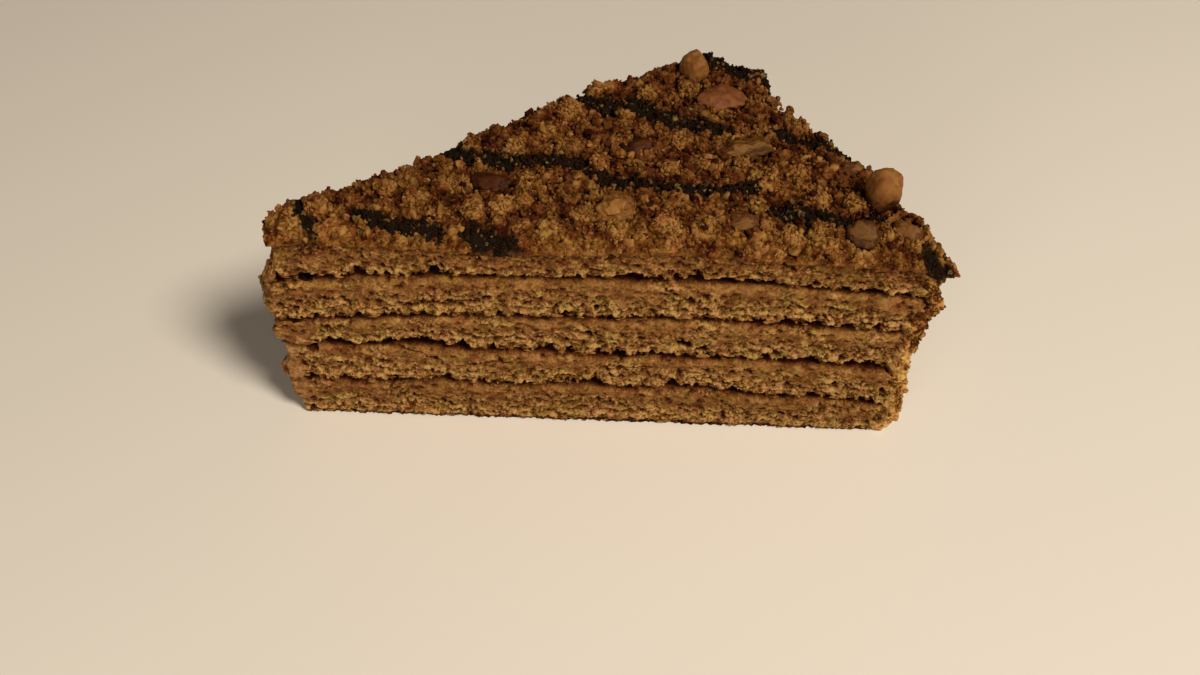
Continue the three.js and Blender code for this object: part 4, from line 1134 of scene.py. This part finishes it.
def strew_top():
    # fine grains over everything
    s, t, g = places(4600, 803)
    r = 0.20 + 0.27 * g.uniform(size=len(s)) ** 1.3
    z, dist, _ = top_surface(s, t)
    c = np.stack([s, t, z + r * g.uniform(-0.4, 0.5, len(s))], -1)
    strew("crumbs_fine", 1, c, r, grain_tones(c, g), grain_choc(c, g, 0.85), CRUMB, g.uniform(-0.08, 0.12, len(c)))
    # coarse grains
    s, t, g = places(1000, 802)
    r = 0.40 + 0.45 * g.uniform(size=len(s)) ** 1.6
    z, dist, _ = top_surface(s, t)
    c = np.stack([s, t, z + r * g.uniform(-0.3, 0.35, len(s))], -1)
    keep = streak_mask(s, t) < 0.6
    c, r = c[keep], r[keep]
    pick = g.uniform(size=len(c))
    tn = np.where(pick < 0.07, 1.0, np.where(pick > 0.92, 0.0, grain_tones(c, g)))
    # pale nut chips and dark skin bits among the coarse grains, and random tone: their own colour
    own_tone_shift = np.where(pick < 0.07, -0.30, np.where(pick > 0.92, 0.22, g.uniform(-0.14, 0.10, len(c))))
    strew("crumbs_coarse", 2, c, r, tn, 0 * r, CRUMB, own_tone_shift)
    # grains that make up the clumps
    g = np.random.default_rng(804)
    cs, rs, ts = [], [], []
    for s0, t0, rad, tall, tone in CLUMPS:
        n = int(12 * rad * rad)
        a = g.uniform(0, 2 * np.pi, n)
        far = rad * np.sqrt(g.uniform(size=n)) * 1.1
        r = g.uniform(0.20, 0.52, n)
        c = np.stack([s0 + far * np.cos(a), t0 + far * np.sin(a), 0 * a], -1)
        surf, _, _ = top_surface(c[:, 0], c[:, 1])
        c[:, 2] = surf + r * g.uniform(-0.3, 0.6, n)
        cs.append(c); rs.append(r); ts.append(np.clip(tone + 0.4 * (g.uniform(size=n) - 0.6), 0, 1))
    c, r, tn = np.concatenate(cs), np.concatenate(rs), np.concatenate(ts)
    keep = nut_dip(c[:, 0], c[:, 1]) < 0.25
    c, r, tn = c[keep], r[keep], tn[keep]
    strew("crumbs_clumped", 1, c, r, tn, grain_choc(c, g, 0.5), CRUMB, g.uniform(-0.26, 0.0, len(c)))
    # crumbs lying over the rims of the walnut pieces
    g = np.random.default_rng(805)
    cs, rs = [], []
    for n, (lo, hi) in NUT_PLACES.items():
        mid, half = (lo + hi) / 2, (hi - lo) / 2
        m = 64 if n != 1 else 24
        a = g.uniform(0, 2 * np.pi, m)
        k = g.uniform(0.74, 1.20, m)
        r = g.uniform(0.18, 0.42, m)
        s, t = mid[0] + half[0] * k * np.cos(a), mid[1] + half[1] * k * np.sin(a)
        z, _, _ = top_surface(s, t)
        top = mid[2] + half[2] * np.sqrt(np.clip(1 - k * k, 0, 1))
        zz = np.where(k < 1, np.maximum(z, np.minimum(top, z + 1.6)), z)
        cs.append(np.stack([s, t, zz + 0.2 * r], -1)); rs.append(r)
    c, r = np.concatenate(cs), np.concatenate(rs)
    strew("crumbs_on_walnut", 1, c, r, grain_tones(c, g), 0 * r, CRUMB, g.uniform(-0.1, 0.15, len(c)))
    # grains and specks of the dark streaks
    g = np.random.default_rng(806)
    cs, rs, ch = [], [], []
    for line, w in STREAK_LINES:
        n = int(len(line) * 0.5 * w * 12)
        i = g.integers(0, len(line), n)
        off = g.normal(size=(n, 2)) * w * 0.55
        s, t = line[i, 0] + off[:, 0], line[i, 1] + off[:, 1]
        r = g.uniform(0.16, 0.40, n)
        ok = in_outline(s, t)
        s, t, r = s[ok], t[ok], r[ok]
        z, _, _ = top_surface(s, t)
        m = streak_mask(s, t)
        cs.append(np.stack([s, t, z + 0.25 * m + r * g.uniform(0.0, 0.9, len(s))], -1))
        rs.append(r); ch.append(np.where(g.uniform(size=len(s)) < 0.02, 0.0, 0.98))
    c, r, ch = np.concatenate(cs), np.concatenate(rs), np.concatenate(ch)
    strew("drizzle_grains", 1, c, r, np.full(len(c), 0.9), ch, CRUMB, g.uniform(-0.1, 0.1, len(c)))
    # pale flecks along the streaks
    g = np.random.default_rng(807)
    cs, rs = [], []
    for line, w in STREAK_LINES:
        n = int(len(line) * 0.5 * 1.1)
        i = g.integers(0, len(line), n)
        off = g.normal(size=(n, 2)) * np.array([1.2, w * 1.0])
        s, t = line[i, 0] + off[:, 0], line[i, 1] + off[:, 1]
        ok = in_outline(s, t)
        s, t = s[ok], t[ok]
        r = 0.18 + 0.36 * g.uniform(size=len(s)) ** 2.2
        z, _, _ = top_surface(s, t)
        cs.append(np.stack([s, t, z + 0.45 * streak_mask(s, t) + r * g.uniform(0.0, 0.5, len(s))], -1)); rs.append(r)
    c, r = np.concatenate(cs), np.concatenate(rs)
    strew("drizzle_flecks", 2, c, r, np.full(len(c), 0.9), 0 * r, FLECK, g.uniform(-0.25, 0.2, len(c)))


strew_top()

# --------------------------------------------------------------------------
# Rim coat
# --------------------------------------------------------------------------


def coat_relief(p):
    """Outward relief of crumbs stuck in the coat."""
    q = p + 0.2 * np.stack([noise(p / 1.1, 940 + i) for i in range(3)], -1)
    f, r1, r2 = worley(q / 1.7, 900)
    a = np.sqrt(np.maximum(0.42 - f * f, 0)) * 1.2 * (0.4 + r1)
    f, r1, _ = worley(q / 0.85, 910)
    b = np.sqrt(np.maximum(0.45 - f * f, 0)) * 0.75 * (0.4 + r1)
    f, r1, _ = worley(q / 0.5, 920)
    c = np.sqrt(np.maximum(0.45 - f * f, 0)) * 0.38
    return np.maximum(a, b) + c + 0.35 * noise(p / 3.5, 930), r2


def build_coat():
    end, arc = 18, 180
    rows = 118
    cols = end + arc + end
    zs = np.linspace(0.0, 1.0, rows)[:, None]
    u_in = np.linspace(0, 1, end, endpoint=False)
    u_rim = np.linspace(0, 1, arc)
    ztop_r = np.minimum(seam(5, *rim_point(u_rim, 0.0).T), CREAM_TOP) + 0.1
    ztop = np.concatenate([np.full(end, ztop_r[0]), ztop_r, np.full(end, ztop_r[-1])])[None]
    z = 0.2 + zs * (ztop - 0.2)
    off = table(RIM_PROFILE, z)
    plan = np.zeros((rows, cols, 2))
    nrm = np.zeros((rows, cols, 2))
    up = np.stack([0 * z[:, 0], 0 * z[:, 0] + 3, z[:, 0]], -1)
    wig = 0.18 * noise(up / 1.9, 961) + 0.14 * noise(up / 0.7, 962)
    for r in range(rows):
        o0, o1 = off[r, 0], off[r, -1]
        fc, bc = rim_point(0.0, o0), rim_point(1.0, o1)
        fi, bi = rim_point(0.0, o0 - 5.0), rim_point(1.0, o1 - 5.0)
        plan[r, :end] = fi * (1 - u_in[:, None]) + fc * u_in[:, None]
        plan[r, :end, 1] += 0.15 + 2.5 * (1 - smooth((u_in - 0.26 - wig[r]) / 0.20)) + 1.0 * (1 - smooth(u_in / 0.30))
        plan[r, end:end + arc] = rim_point(u_rim, off[r, end:end + arc])
        w = ((np.arange(end) + 1) / end)[:, None]
        plan[r, end + arc:] = bc * (1 - w) + bi * w - BACK_N * (0.45 + 2.2 * smooth((w - 0.52) / 0.18) + 1.0 * smooth((w - 0.70) / 0.30))
    nrm[:, :end] = [0, -1]
    d = plan[:, end:end + arc] - CAKE_AXIS
    nrm[:, end:end + arc] = d / np.linalg.norm(d, axis=-1, keepdims=True)
    nrm[:, end + arc:] = BACK_N
    for _ in range(5):
        nrm[:, 1:-1] = (nrm[:, :-2] + 2 * nrm[:, 1:-1] + nrm[:, 2:]) / 4
        plan[:, 2:-2] = (plan[:, 1:-3] + 2 * plan[:, 2:-2] + plan[:, 3:-1]) / 4
    nrm /= np.linalg.norm(nrm, axis=-1, keepdims=True)
    p = np.stack([plan[..., 0], plan[..., 1], z + 0 * plan[..., 0]], -1)
    rel, tone = coat_relief(p)
    shy = np.ones(cols)
    shy[:end] = 0.75
    shy[end + arc:] = 0.75
    shy = shy[None] * smooth(zs / 0.03 + 0.3)
    out = p.copy()
    out[..., :2] += nrm * ((rel - 0.8) * shy)[..., None]
    level = blur_rows(blur_columns(rel, 10, False), 10)
    # painted shade between the stuck crumbs, paler on their tops
    shade_and_tone = np.clip(0.36 - 0.55 * (rel - level), 0, 1)
    verts = out.reshape(-1, 3)
    inner_u = np.linspace(0.92, 0.08, 12)
    ip = rim_point(inner_u, -RIM_COAT - 1.2)
    base = len(verts)
    highz = ztop_r[0] * (1 - inner_u) + ztop_r[-1] * inner_u
    verts = np.concatenate([verts, np.c_[ip, np.full(12, 0.4)], np.c_[ip, highz]])
    i = np.arange(11)
    faces = [grid_quads(rows, cols, 0, False), np.stack([base + i, base + i + 1, base + 12 + i + 1, base + 12 + i], -1)]
    first_low, first_high, last_low, last_high = base + 11, base + 23, base, base + 12
    tri = []
    half = rows // 2
    for q in range(rows - 1):
        a, b = q * cols, (q + 1) * cols
        tri.append((a, b, first_low) if q < half else (a, b, first_high))
        a, b = q * cols + cols - 1, (q + 1) * cols + cols - 1
        tri.append((b, a, last_low) if q < half else (b, a, last_high))
    tri.append((half * cols, first_high, first_low))
    tri.append((half * cols + cols - 1, last_low, last_high))
    u = np.clip((np.arange(cols) - end) / (arc - 1), 0, 1)
    for row, start, up in ((rows - 1, base + 12, True), (0, base, False)):
        near = start + 11 - np.round(u * 11).astype(int)
        for q in range(cols - 1):
            a, b = row * cols + q, row * cols + q + 1
            tri.append((a, b, near[q]) if up else (b, a, near[q]))
            if near[q + 1] != near[q]:
                tri.append((b, near[q + 1], near[q]) if up else (near[q + 1], b, near[q]))
    faces.append(np.array(tri))
    tone = np.clip(0.88 + 0.2 * tone, 0, 1).reshape(-1)
    # painted shade: darker towards the top, under the overhanging heap
    shade_and_tone = shade_and_tone - 0.22 + 0.29 * smooth((z - 21.0 + 8.0 * noise(p / 5.0, 963)) / 11.0)
    make_mesh("rim_crumb_coat", verts, faces, {
        "shade_and_tone": np.concatenate([shade_and_tone.reshape(-1), np.full(24, 0.7)]),
        "tone": np.concatenate([tone, np.full(24, 0.5)]),
        "choc": np.zeros(len(verts))}, COATED, ("rim_coat",))
    return out, nrm, end


COAT_P, COAT_N, COAT_END = build_coat()


def strew_sides():
    # crumbs in the rim coat
    g = np.random.default_rng(950)
    rows, cols = COAT_P.shape[:2]
    cs, rs = [], []
    for n, lo, hi, c0, c1 in ((1150, 0.16, 0.42, COAT_END, cols - COAT_END), (330, 0.18, 0.60, 7, COAT_END + 6),
                              (120, 0.16, 0.38, cols - COAT_END, cols - 4)):
        r_i, c_i = g.integers(3, rows - 2, n), g.integers(c0, c1, n)
        r = lo + (hi - lo) * g.uniform(size=n) ** 1.4
        c = COAT_P[r_i, c_i].copy()
        c[:, :2] += COAT_N[r_i, c_i] * (r * g.uniform(-0.2, 0.5, n))[:, None]
        c[:, 2] = np.maximum(c[:, 2], r * 1.3)
        cs.append(c); rs.append(r)
    c, r = np.concatenate(cs), np.concatenate(rs)
    # these crumbs get the same painted shade as the coat, darker towards the top under the heap
    strew("rim_crumbs", 1, c, r, np.clip(0.75 + 0.4 * g.uniform(size=len(c)), 0, 1), 0 * r, COATED,
          g.uniform(-0.31, 0.04, len(c)) + 0.27 * smooth((c[:, 2] - 21.0 + 8.0 * noise(c / 5.0, 963)) / 11.0))
    # crumbs that stick to the cut faces, most at the torn lips and under the top edge
    g = np.random.default_rng(960)
    cs, rs = [], []
    for k, (out, nrm, mask) in WALLS.items():
        cols_ok = np.concatenate([np.arange(0, N_F), np.arange(N_F + N_R, COLS)])
        wt = np.where(cols_ok < N_F, 1.0, 0.55)
        wt /= wt.sum()
        for n, low, high in ((260, 0.0, 0.10), (130, 0.10, 0.85)) + (((900, 0.60, 1.0),) if k == 5 else ((160, 0.0, 0.25),)):
            r_i = (g.uniform(low, high, n) * (ROWS - 1)).astype(int)
            c_i = g.choice(cols_ok, n, p=wt)
            r = 0.12 + 0.16 * g.uniform(size=n) ** 1.5 + (0.12 if low > 0.4 else 0)
            c = out[r_i, c_i].copy()
            c[:, :2] += nrm[r_i, c_i] * (r * g.uniform(-0.4, 0.4, n))[:, None]
            keep = (mask[r_i, c_i] > 0.4) & (c[:, 2] > r)
            cs.append(c[keep]); rs.append(r[keep])
    c, r = np.concatenate(cs), np.concatenate(rs)
    strew("face_crumbs", 1, c, r, np.clip(0.35 + 0.6 * g.uniform(size=len(c)), 0, 1), 0 * r, CRUMB, g.uniform(-0.1, 0.2, len(c)))
    # flat shreds hanging at the lips of the seams
    g = np.random.default_rng(965)
    cs, rs = [], []
    for k, (out, nrm, mask) in WALLS.items():
        n = 150 if k > 1 else 40
        r_i = (g.uniform(0.0, 0.22, n) ** 1.3 * (ROWS - 1)).astype(int) + (2 if k == 1 else 0)
        c_i = g.integers(0, N_F, n)
        r = 0.18 + 0.22 * g.uniform(size=n) ** 1.5
        c = out[r_i, c_i].copy()
        c[:, :2] += nrm[r_i, c_i] * (r * g.uniform(-0.3, 0.5, n))[:, None]
        cs.append(c); rs.append(r)
    c, r = np.concatenate(cs), np.concatenate(rs)
    strew("shreds", 1, c, r, np.full(len(c), 1.0), 0 * r, CRUMB, g.uniform(-0.30, 0.05, len(c)), (2.4, 0.8, 0.62))
    # a row of crumbs heaped along the top edges
    g = np.random.default_rng(970)
    i = g.integers(0, len(OUTLINE), 1300)
    nx = OUTLINE[(i + 1) % len(OUTLINE)]
    u = g.uniform(size=len(i))[:, None]
    pt = OUTLINE[i] * (1 - u) + nx * u
    back = (pt - CENTRE) / np.linalg.norm(pt - CENTRE, axis=1, keepdims=True)
    low = g.uniform(size=len(i)) < 0.45
    pt = pt - back * (g.uniform(0.0, 0.9, len(i)) * np.where(low, 0.4, 1.0))[:, None]
    r = 0.16 + 0.26 * g.uniform(size=len(i)) ** 1.5
    z, _, _ = top_surface(pt[:, 0], pt[:, 1])
    c = np.stack([pt[:, 0], pt[:, 1], z + r * g.uniform(-0.6, 0.4, len(i)) - low * g.uniform(0.1, 1.3, len(i))], -1)
    strew("edge_crumbs", 1, c, r, grain_tones(c, g), grain_choc(c, g, 0.8), CRUMB, g.uniform(-0.1, 0.15, len(c)))


strew_sides()

# --------------------------------------------------------------------------
# Lumps of cream at the tip
# --------------------------------------------------------------------------


def lump(centre, half, seed, rough, level=4, turn=0.0):
    v, f = ico(level)
    r = 1 + 0.22 * noise(v * 1.4 + seed, 1200 + seed) + rough * noise(v * 3.4 + seed, 1201 + seed) + rough * 0.6 * noise(v * 7.5, 1202 + seed)
    # painted shade in the dents of each lump
    shade_and_tone = np.clip(0.35 - 1.2 * (r - 1), 0, 1)
    p = v * r[:, None] * np.array(half)
    a = math.radians(turn)
    x, z = p[:, 0] * math.cos(a) - p[:, 2] * math.sin(a), p[:, 0] * math.sin(a) + p[:, 2] * math.cos(a)
    return np.stack([x, p[:, 1], z], -1) + np.array(centre), f, shade_and_tone


def join(name, lumps, material, extra=None):
    vs, fs, cv, start = [], [], [], 0
    for v, f, c in lumps:
        vs.append(v); fs.append(f + start); cv.append(c)
        start += len(v)
    attrs = {"shade_and_tone": np.concatenate(cv)}
    for key, value in (extra or {}).items():
        attrs[key] = np.full(start, value)
    make_mesh(name, np.concatenate(vs), [np.concatenate(fs)], attrs, material)


join("tip_tongue", [
    lump((1.9, -0.10, 23.0), (3.4, 1.1, 0.95), 21, 0.16, 4, -18),
    lump((-0.3, 0.50, 24.0), (1.4, 1.3, 0.60), 23, 0.20, 3, -8),
    lump((-1.1, 1.7, 11.6), (1.5, 1.2, 2.7), 25, 0.20, 4, 16),
    lump((0.65, 1.8, 37.9), (1.0, 1.9, 2.9), 27, 0.22, 4, -25),
], SPONGE, {"tone": 0.30, "wipe": 0.35})

# --------------------------------------------------------------------------
# Drizzle ribbons
# --------------------------------------------------------------------------


def build_drizzle():
    vs, fs, tn = [], [], []
    start = 0
    around = 18
    for i, (pts, w) in enumerate(STREAKS):
        line = resample(pts, 0.22)
        n = len(line)
        tang = np.gradient(line, axis=0)
        tang /= np.linalg.norm(tang, axis=1, keepdims=True)
        side = np.stack([-tang[:, 1], tang[:, 0]], -1)
        length = np.arange(n) * 0.22
        q = np.stack([length / 2.2, np.full(n, i * 3.3), np.zeros(n)], -1)
        half = w * (0.74 + 0.95 * noise(q, 1001) + 0.55 * noise(q * 2.7, 1002))
        ends = np.sqrt(smooth(length / 1.3) * smooth((length[-1] - length) / 1.3))
        half = np.maximum(half, 0.30) * np.maximum(ends, 0.05)
        line = line + side * (0.35 * noise(q * 1.5 + 9, 1004))[:, None]
        tall = (0.42 + 0.30 * noise(q * 1.7 + 5, 1003)) * np.maximum(ends, 0.05)
        ang = np.linspace(0, 2 * np.pi, around, endpoint=False)
        ca, sa = np.cos(ang), np.sin(ang)
        px = line[:, None, :] + side[:, None, :] * (half[:, None] * ca[None])[..., None]
        h, dist, _ = top_surface(px[..., 0], px[..., 1])
        mid, _, _ = top_surface(line[:, 0], line[:, 1])
        hs = 0.6 * h + 0.4 * blur_rows(mid[:, None], 12)
        hs = hs - 0.9 * ~in_outline(px[..., 0], px[..., 1])
        z = hs + np.where(sa > 0, sa * tall[:, None], sa * 0.6) + 0.10
        p = np.stack([px[..., 0], px[..., 1], z], -1)
        knob = np.sqrt(np.maximum(0.5 - worley(p / 0.75, 1010)[0] ** 2, 0)) * 0.50 \
            + np.sqrt(np.maximum(0.5 - worley(p / 0.42, 1020)[0] ** 2, 0)) * 0.26 - 0.32
        knob = knob * np.maximum(ends, 0.1)[:, None]
        p[..., 2] += knob * (0.35 + 0.65 * np.maximum(sa, 0))[None]
        p[..., :2] += side[:, None, :] * (knob * ca[None] * 0.8)[..., None]
        speck = smooth((noise(p / 1.2, 1030) - 0.44) / 0.16)
        vs.append(p.reshape(-1, 3))
        fs.append(grid_quads(n, around, start, True))
        c = np.arange(around)
        c2 = (c + 1) % around
        a, b = start + n * around, start + n * around + 1
        vs.append(np.array([p[0].mean(0), p[-1].mean(0)]))
        fs.append(np.concatenate([np.stack([start + c2, start + c, np.full(around, a)], -1),
                                  np.stack([start + (n - 1) * around + c, start + (n - 1) * around + c2, np.full(around, b)], -1)]))
        tn.append(np.concatenate([speck.reshape(-1) * 0.7, [0, 0]]))
        start += n * around + 2
    make_mesh("drizzle", np.concatenate(vs), fs, {"tone": np.concatenate(tn)}, CHOC)


build_drizzle()

# --------------------------------------------------------------------------
# Walnut pieces, each in its CAD node's box
# --------------------------------------------------------------------------
# look, level, groove, cut plane (normal, offset), turn, half sizes, wrinkle
NUT_LOOKS = {
    1: ("light", 5, 0.03, (0.35, -0.9, 0.15, 0.90), 20, (3.15, 3.0, 4.4), 0.010),
    2: ("pale", 4, 0.05, (-0.1, -0.55, 0.83, 0.62), -15, (2.9, 2.5, 2.0), 0.03),
    3: ("gold", 5, 0.20, (0.0, -0.7, 0.7, 0.78), 12, (4.6, 2.3, 1.9), 0.04),
    4: ("light", 5, 0.05, (0.3, -0.7, 0.6, 0.9), 30, (2.6, 3.0, 3.2), 0.02),
    5: ("skin", 4, 0.06, (0.05, -0.25, 0.96, 0.7), -8, (3.4, 2.2, 1.6), 0.02),
    6: ("kernel", 5, 0.05, (-0.3, -0.5, 0.8, 0.96), 25, (3.0, 2.7, 2.5), 0.025),
    7: ("tan", 4, 0.10, (0.2, -0.6, 0.75, 0.8), -30, (2.7, 2.3, 1.7), 0.03),
    8: ("pink", 5, 0.06, (-0.1, -0.35, 0.93, 0.90), 18, (4.2, 3.6, 2.1), 0.03),
    9: ("tan", 4, 0.10, (0.1, -0.5, 0.85, 0.75), -35, (2.8, 2.0, 1.8), 0.03),
    10: ("skin", 4, 0.06, (0.0, -0.3, 0.95, 0.72), 40, (2.6, 2.0, 1.6), 0.02),
    11: ("tan", 4, 0.12, (0.4, -0.4, 0.8, 0.8), 0, (2.3, 1.9, 1.8), 0.05),
}
# the two tall pieces are squarer and smoother than the others
SQUARE = {1: 2.5, 4: 2.3}


def build_walnut(n):
    look, level, groove, flat, turn, half, wrinkle = NUT_LOOKS[n]
    v, f = ico(level)
    seed = 1100 + 10 * n
    if n in SQUARE:
        r = (np.abs(v) ** SQUARE[n]).sum(1) ** (-1 / SQUARE[n])
        r = r * (1 + 0.09 * noise(v * 1.3 + 5, seed) + 0.04 * noise(v * 3.2 + 9, seed + 1))
    else:
        r = 1 + 0.22 * noise(v * 1.5 + 5, seed) + 0.08 * noise(v * 3.2 + 9, seed + 1)
    r = r - groove * np.exp(-(v[:, 0] * 2.6) ** 2) * smooth(np.clip(v[:, 2] * 0.8 + 0.5, 0, 1))
    fold = np.abs(noise(v * 2.9 + 3, seed + 2))
    r = r + wrinkle * 2 * (fold - 0.3) + 0.018 * noise(v * 6.0, seed + 3)
    p = v * r[:, None]
    nf = np.array(flat[:3]) / np.linalg.norm(flat[:3])
    over = p @ nf - flat[3] * (1.0 if n not in SQUARE else 1.25)
    cut = over > 0
    rough = 0.05 * noise(v * 6.0, seed + 4) + 0.03 * noise(v * 13.0, seed + 5)
    p = p - np.where(cut, 0.62 * over + rough * smooth(over / 0.1), 0)[:, None] * nf
    # darker in the folds: the skin's own colour and painted shade
    shade_and_tone = 0.35 - 0.9 * (fold - 0.3) + 0.25 * noise(v * 3.0, seed + 6)
    shade_and_tone = np.where(cut, shade_and_tone * 0.4, shade_and_tone + 0.12)
    if n in SQUARE:
        shade_and_tone = 0.26 + 0.14 * noise(v * 1.6 + 2, seed + 6)
    if n == 8:
        shade_and_tone = 0.18 + 0.45 * shade_and_tone
    # painted shade on the lower part of this piece
    if n == 1:
        shade_and_tone = shade_and_tone + 0.95 * smooth((0.10 + 0.3 * noise(v * 2.0, seed + 7) - v[:, 2]) / 0.5)
    p = p * np.array(half)
    b = math.radians(turn)
    rz = np.array([[math.cos(b), -math.sin(b), 0], [math.sin(b), math.cos(b), 0], [0, 0, 1]])
    p = p @ rz.T
    lo, hi = NUT_PLACES[n]
    plo, phi = p.min(0), p.max(0)
    p = (p - plo) / (phi - plo) * (hi - lo) + lo
    if n != 1:
        mid = (lo + hi) / 2
        p = mid + (p - mid) * 1.04 + np.array([0.0, 0.0, 0.35])
    make_mesh(f"walnut_piece_{n}", p, [f], {"shade_and_tone": np.clip(shade_and_tone, 0, 1)}, NUTS[look], (f"walnut_{n}",))


for n in range(1, 12):
    build_walnut(n)

# --------------------------------------------------------------------------
# Floor, light and camera
# --------------------------------------------------------------------------
bpy.ops.mesh.primitive_plane_add(size=4.0, location=(0, 0, -0.0001))
floor = bpy.context.object
floor.name = "floor"
fm = Nodes("floor_plain")
fm.finish(srgb(244, 240, 234), 0.6, specular=0.2)
floor.data.materials.append(fm.mat)

world = bpy.data.worlds.new("studio")
world.use_nodes = True
bg = world.node_tree.nodes["Background"]
bg.inputs["Color"].default_value = (1.0, 0.81, 0.63, 1.0)
bg.inputs["Strength"].default_value = 0.052
bpy.context.scene.world = world


def area(name, at, aim, size, power, colour):
    data = bpy.data.lights.new(name, "AREA")
    data.shape = "DISK"
    data.size = size
    data.energy = power
    data.color = colour
    ob = bpy.data.objects.new(name, data)
    bpy.context.scene.collection.objects.link(ob)
    ob.location = at
    ob.rotation_euler = (Vector(aim) - Vector(at)).to_track_quat("-Z", "Y").to_euler()
    return ob


area("key", (0.42, -0.36, 0.78), (0, 0, 0.02), 0.25, 7.4, (1.0, 0.88, 0.715))
area("front_fill", (-0.15, -0.42, 0.15), (0, 0, 0.02), 0.25, 0.54, (1.0, 0.87, 0.70))

cam_data = bpy.data.cameras.new("camera")
cam = bpy.data.objects.new("camera", cam_data)
bpy.context.scene.collection.objects.link(cam)
bpy.context.scene.camera = cam
cam_data.sensor_width = 36.0
cam_data.lens = 31.5
cam_data.clip_start = 0.005
cam_data.clip_end = 20.0
right = Vector((0.99940, 0.02737, 0.02131)).normalized()
ahead = Vector((-0.00129, 0.64330, -0.76562)).normalized()
up = right.cross(ahead).normalized()
right = ahead.cross(up).normalized()
rot = Matrix((right, up, -ahead)).transposed().to_4x4()
cam.matrix_world = Matrix.Translation(Vector(((56.14 - ORIGIN_S) * 0.001, (-117.93 - ORIGIN_T) * 0.001, 0.16576))) @ rot

scene = bpy.context.scene
scene.view_settings.view_transform = "Standard"
scene.view_settings.look = "None"
scene.view_settings.exposure = 0.0
scene.view_settings.gamma = 1.0

bpy.context.view_layer.update()
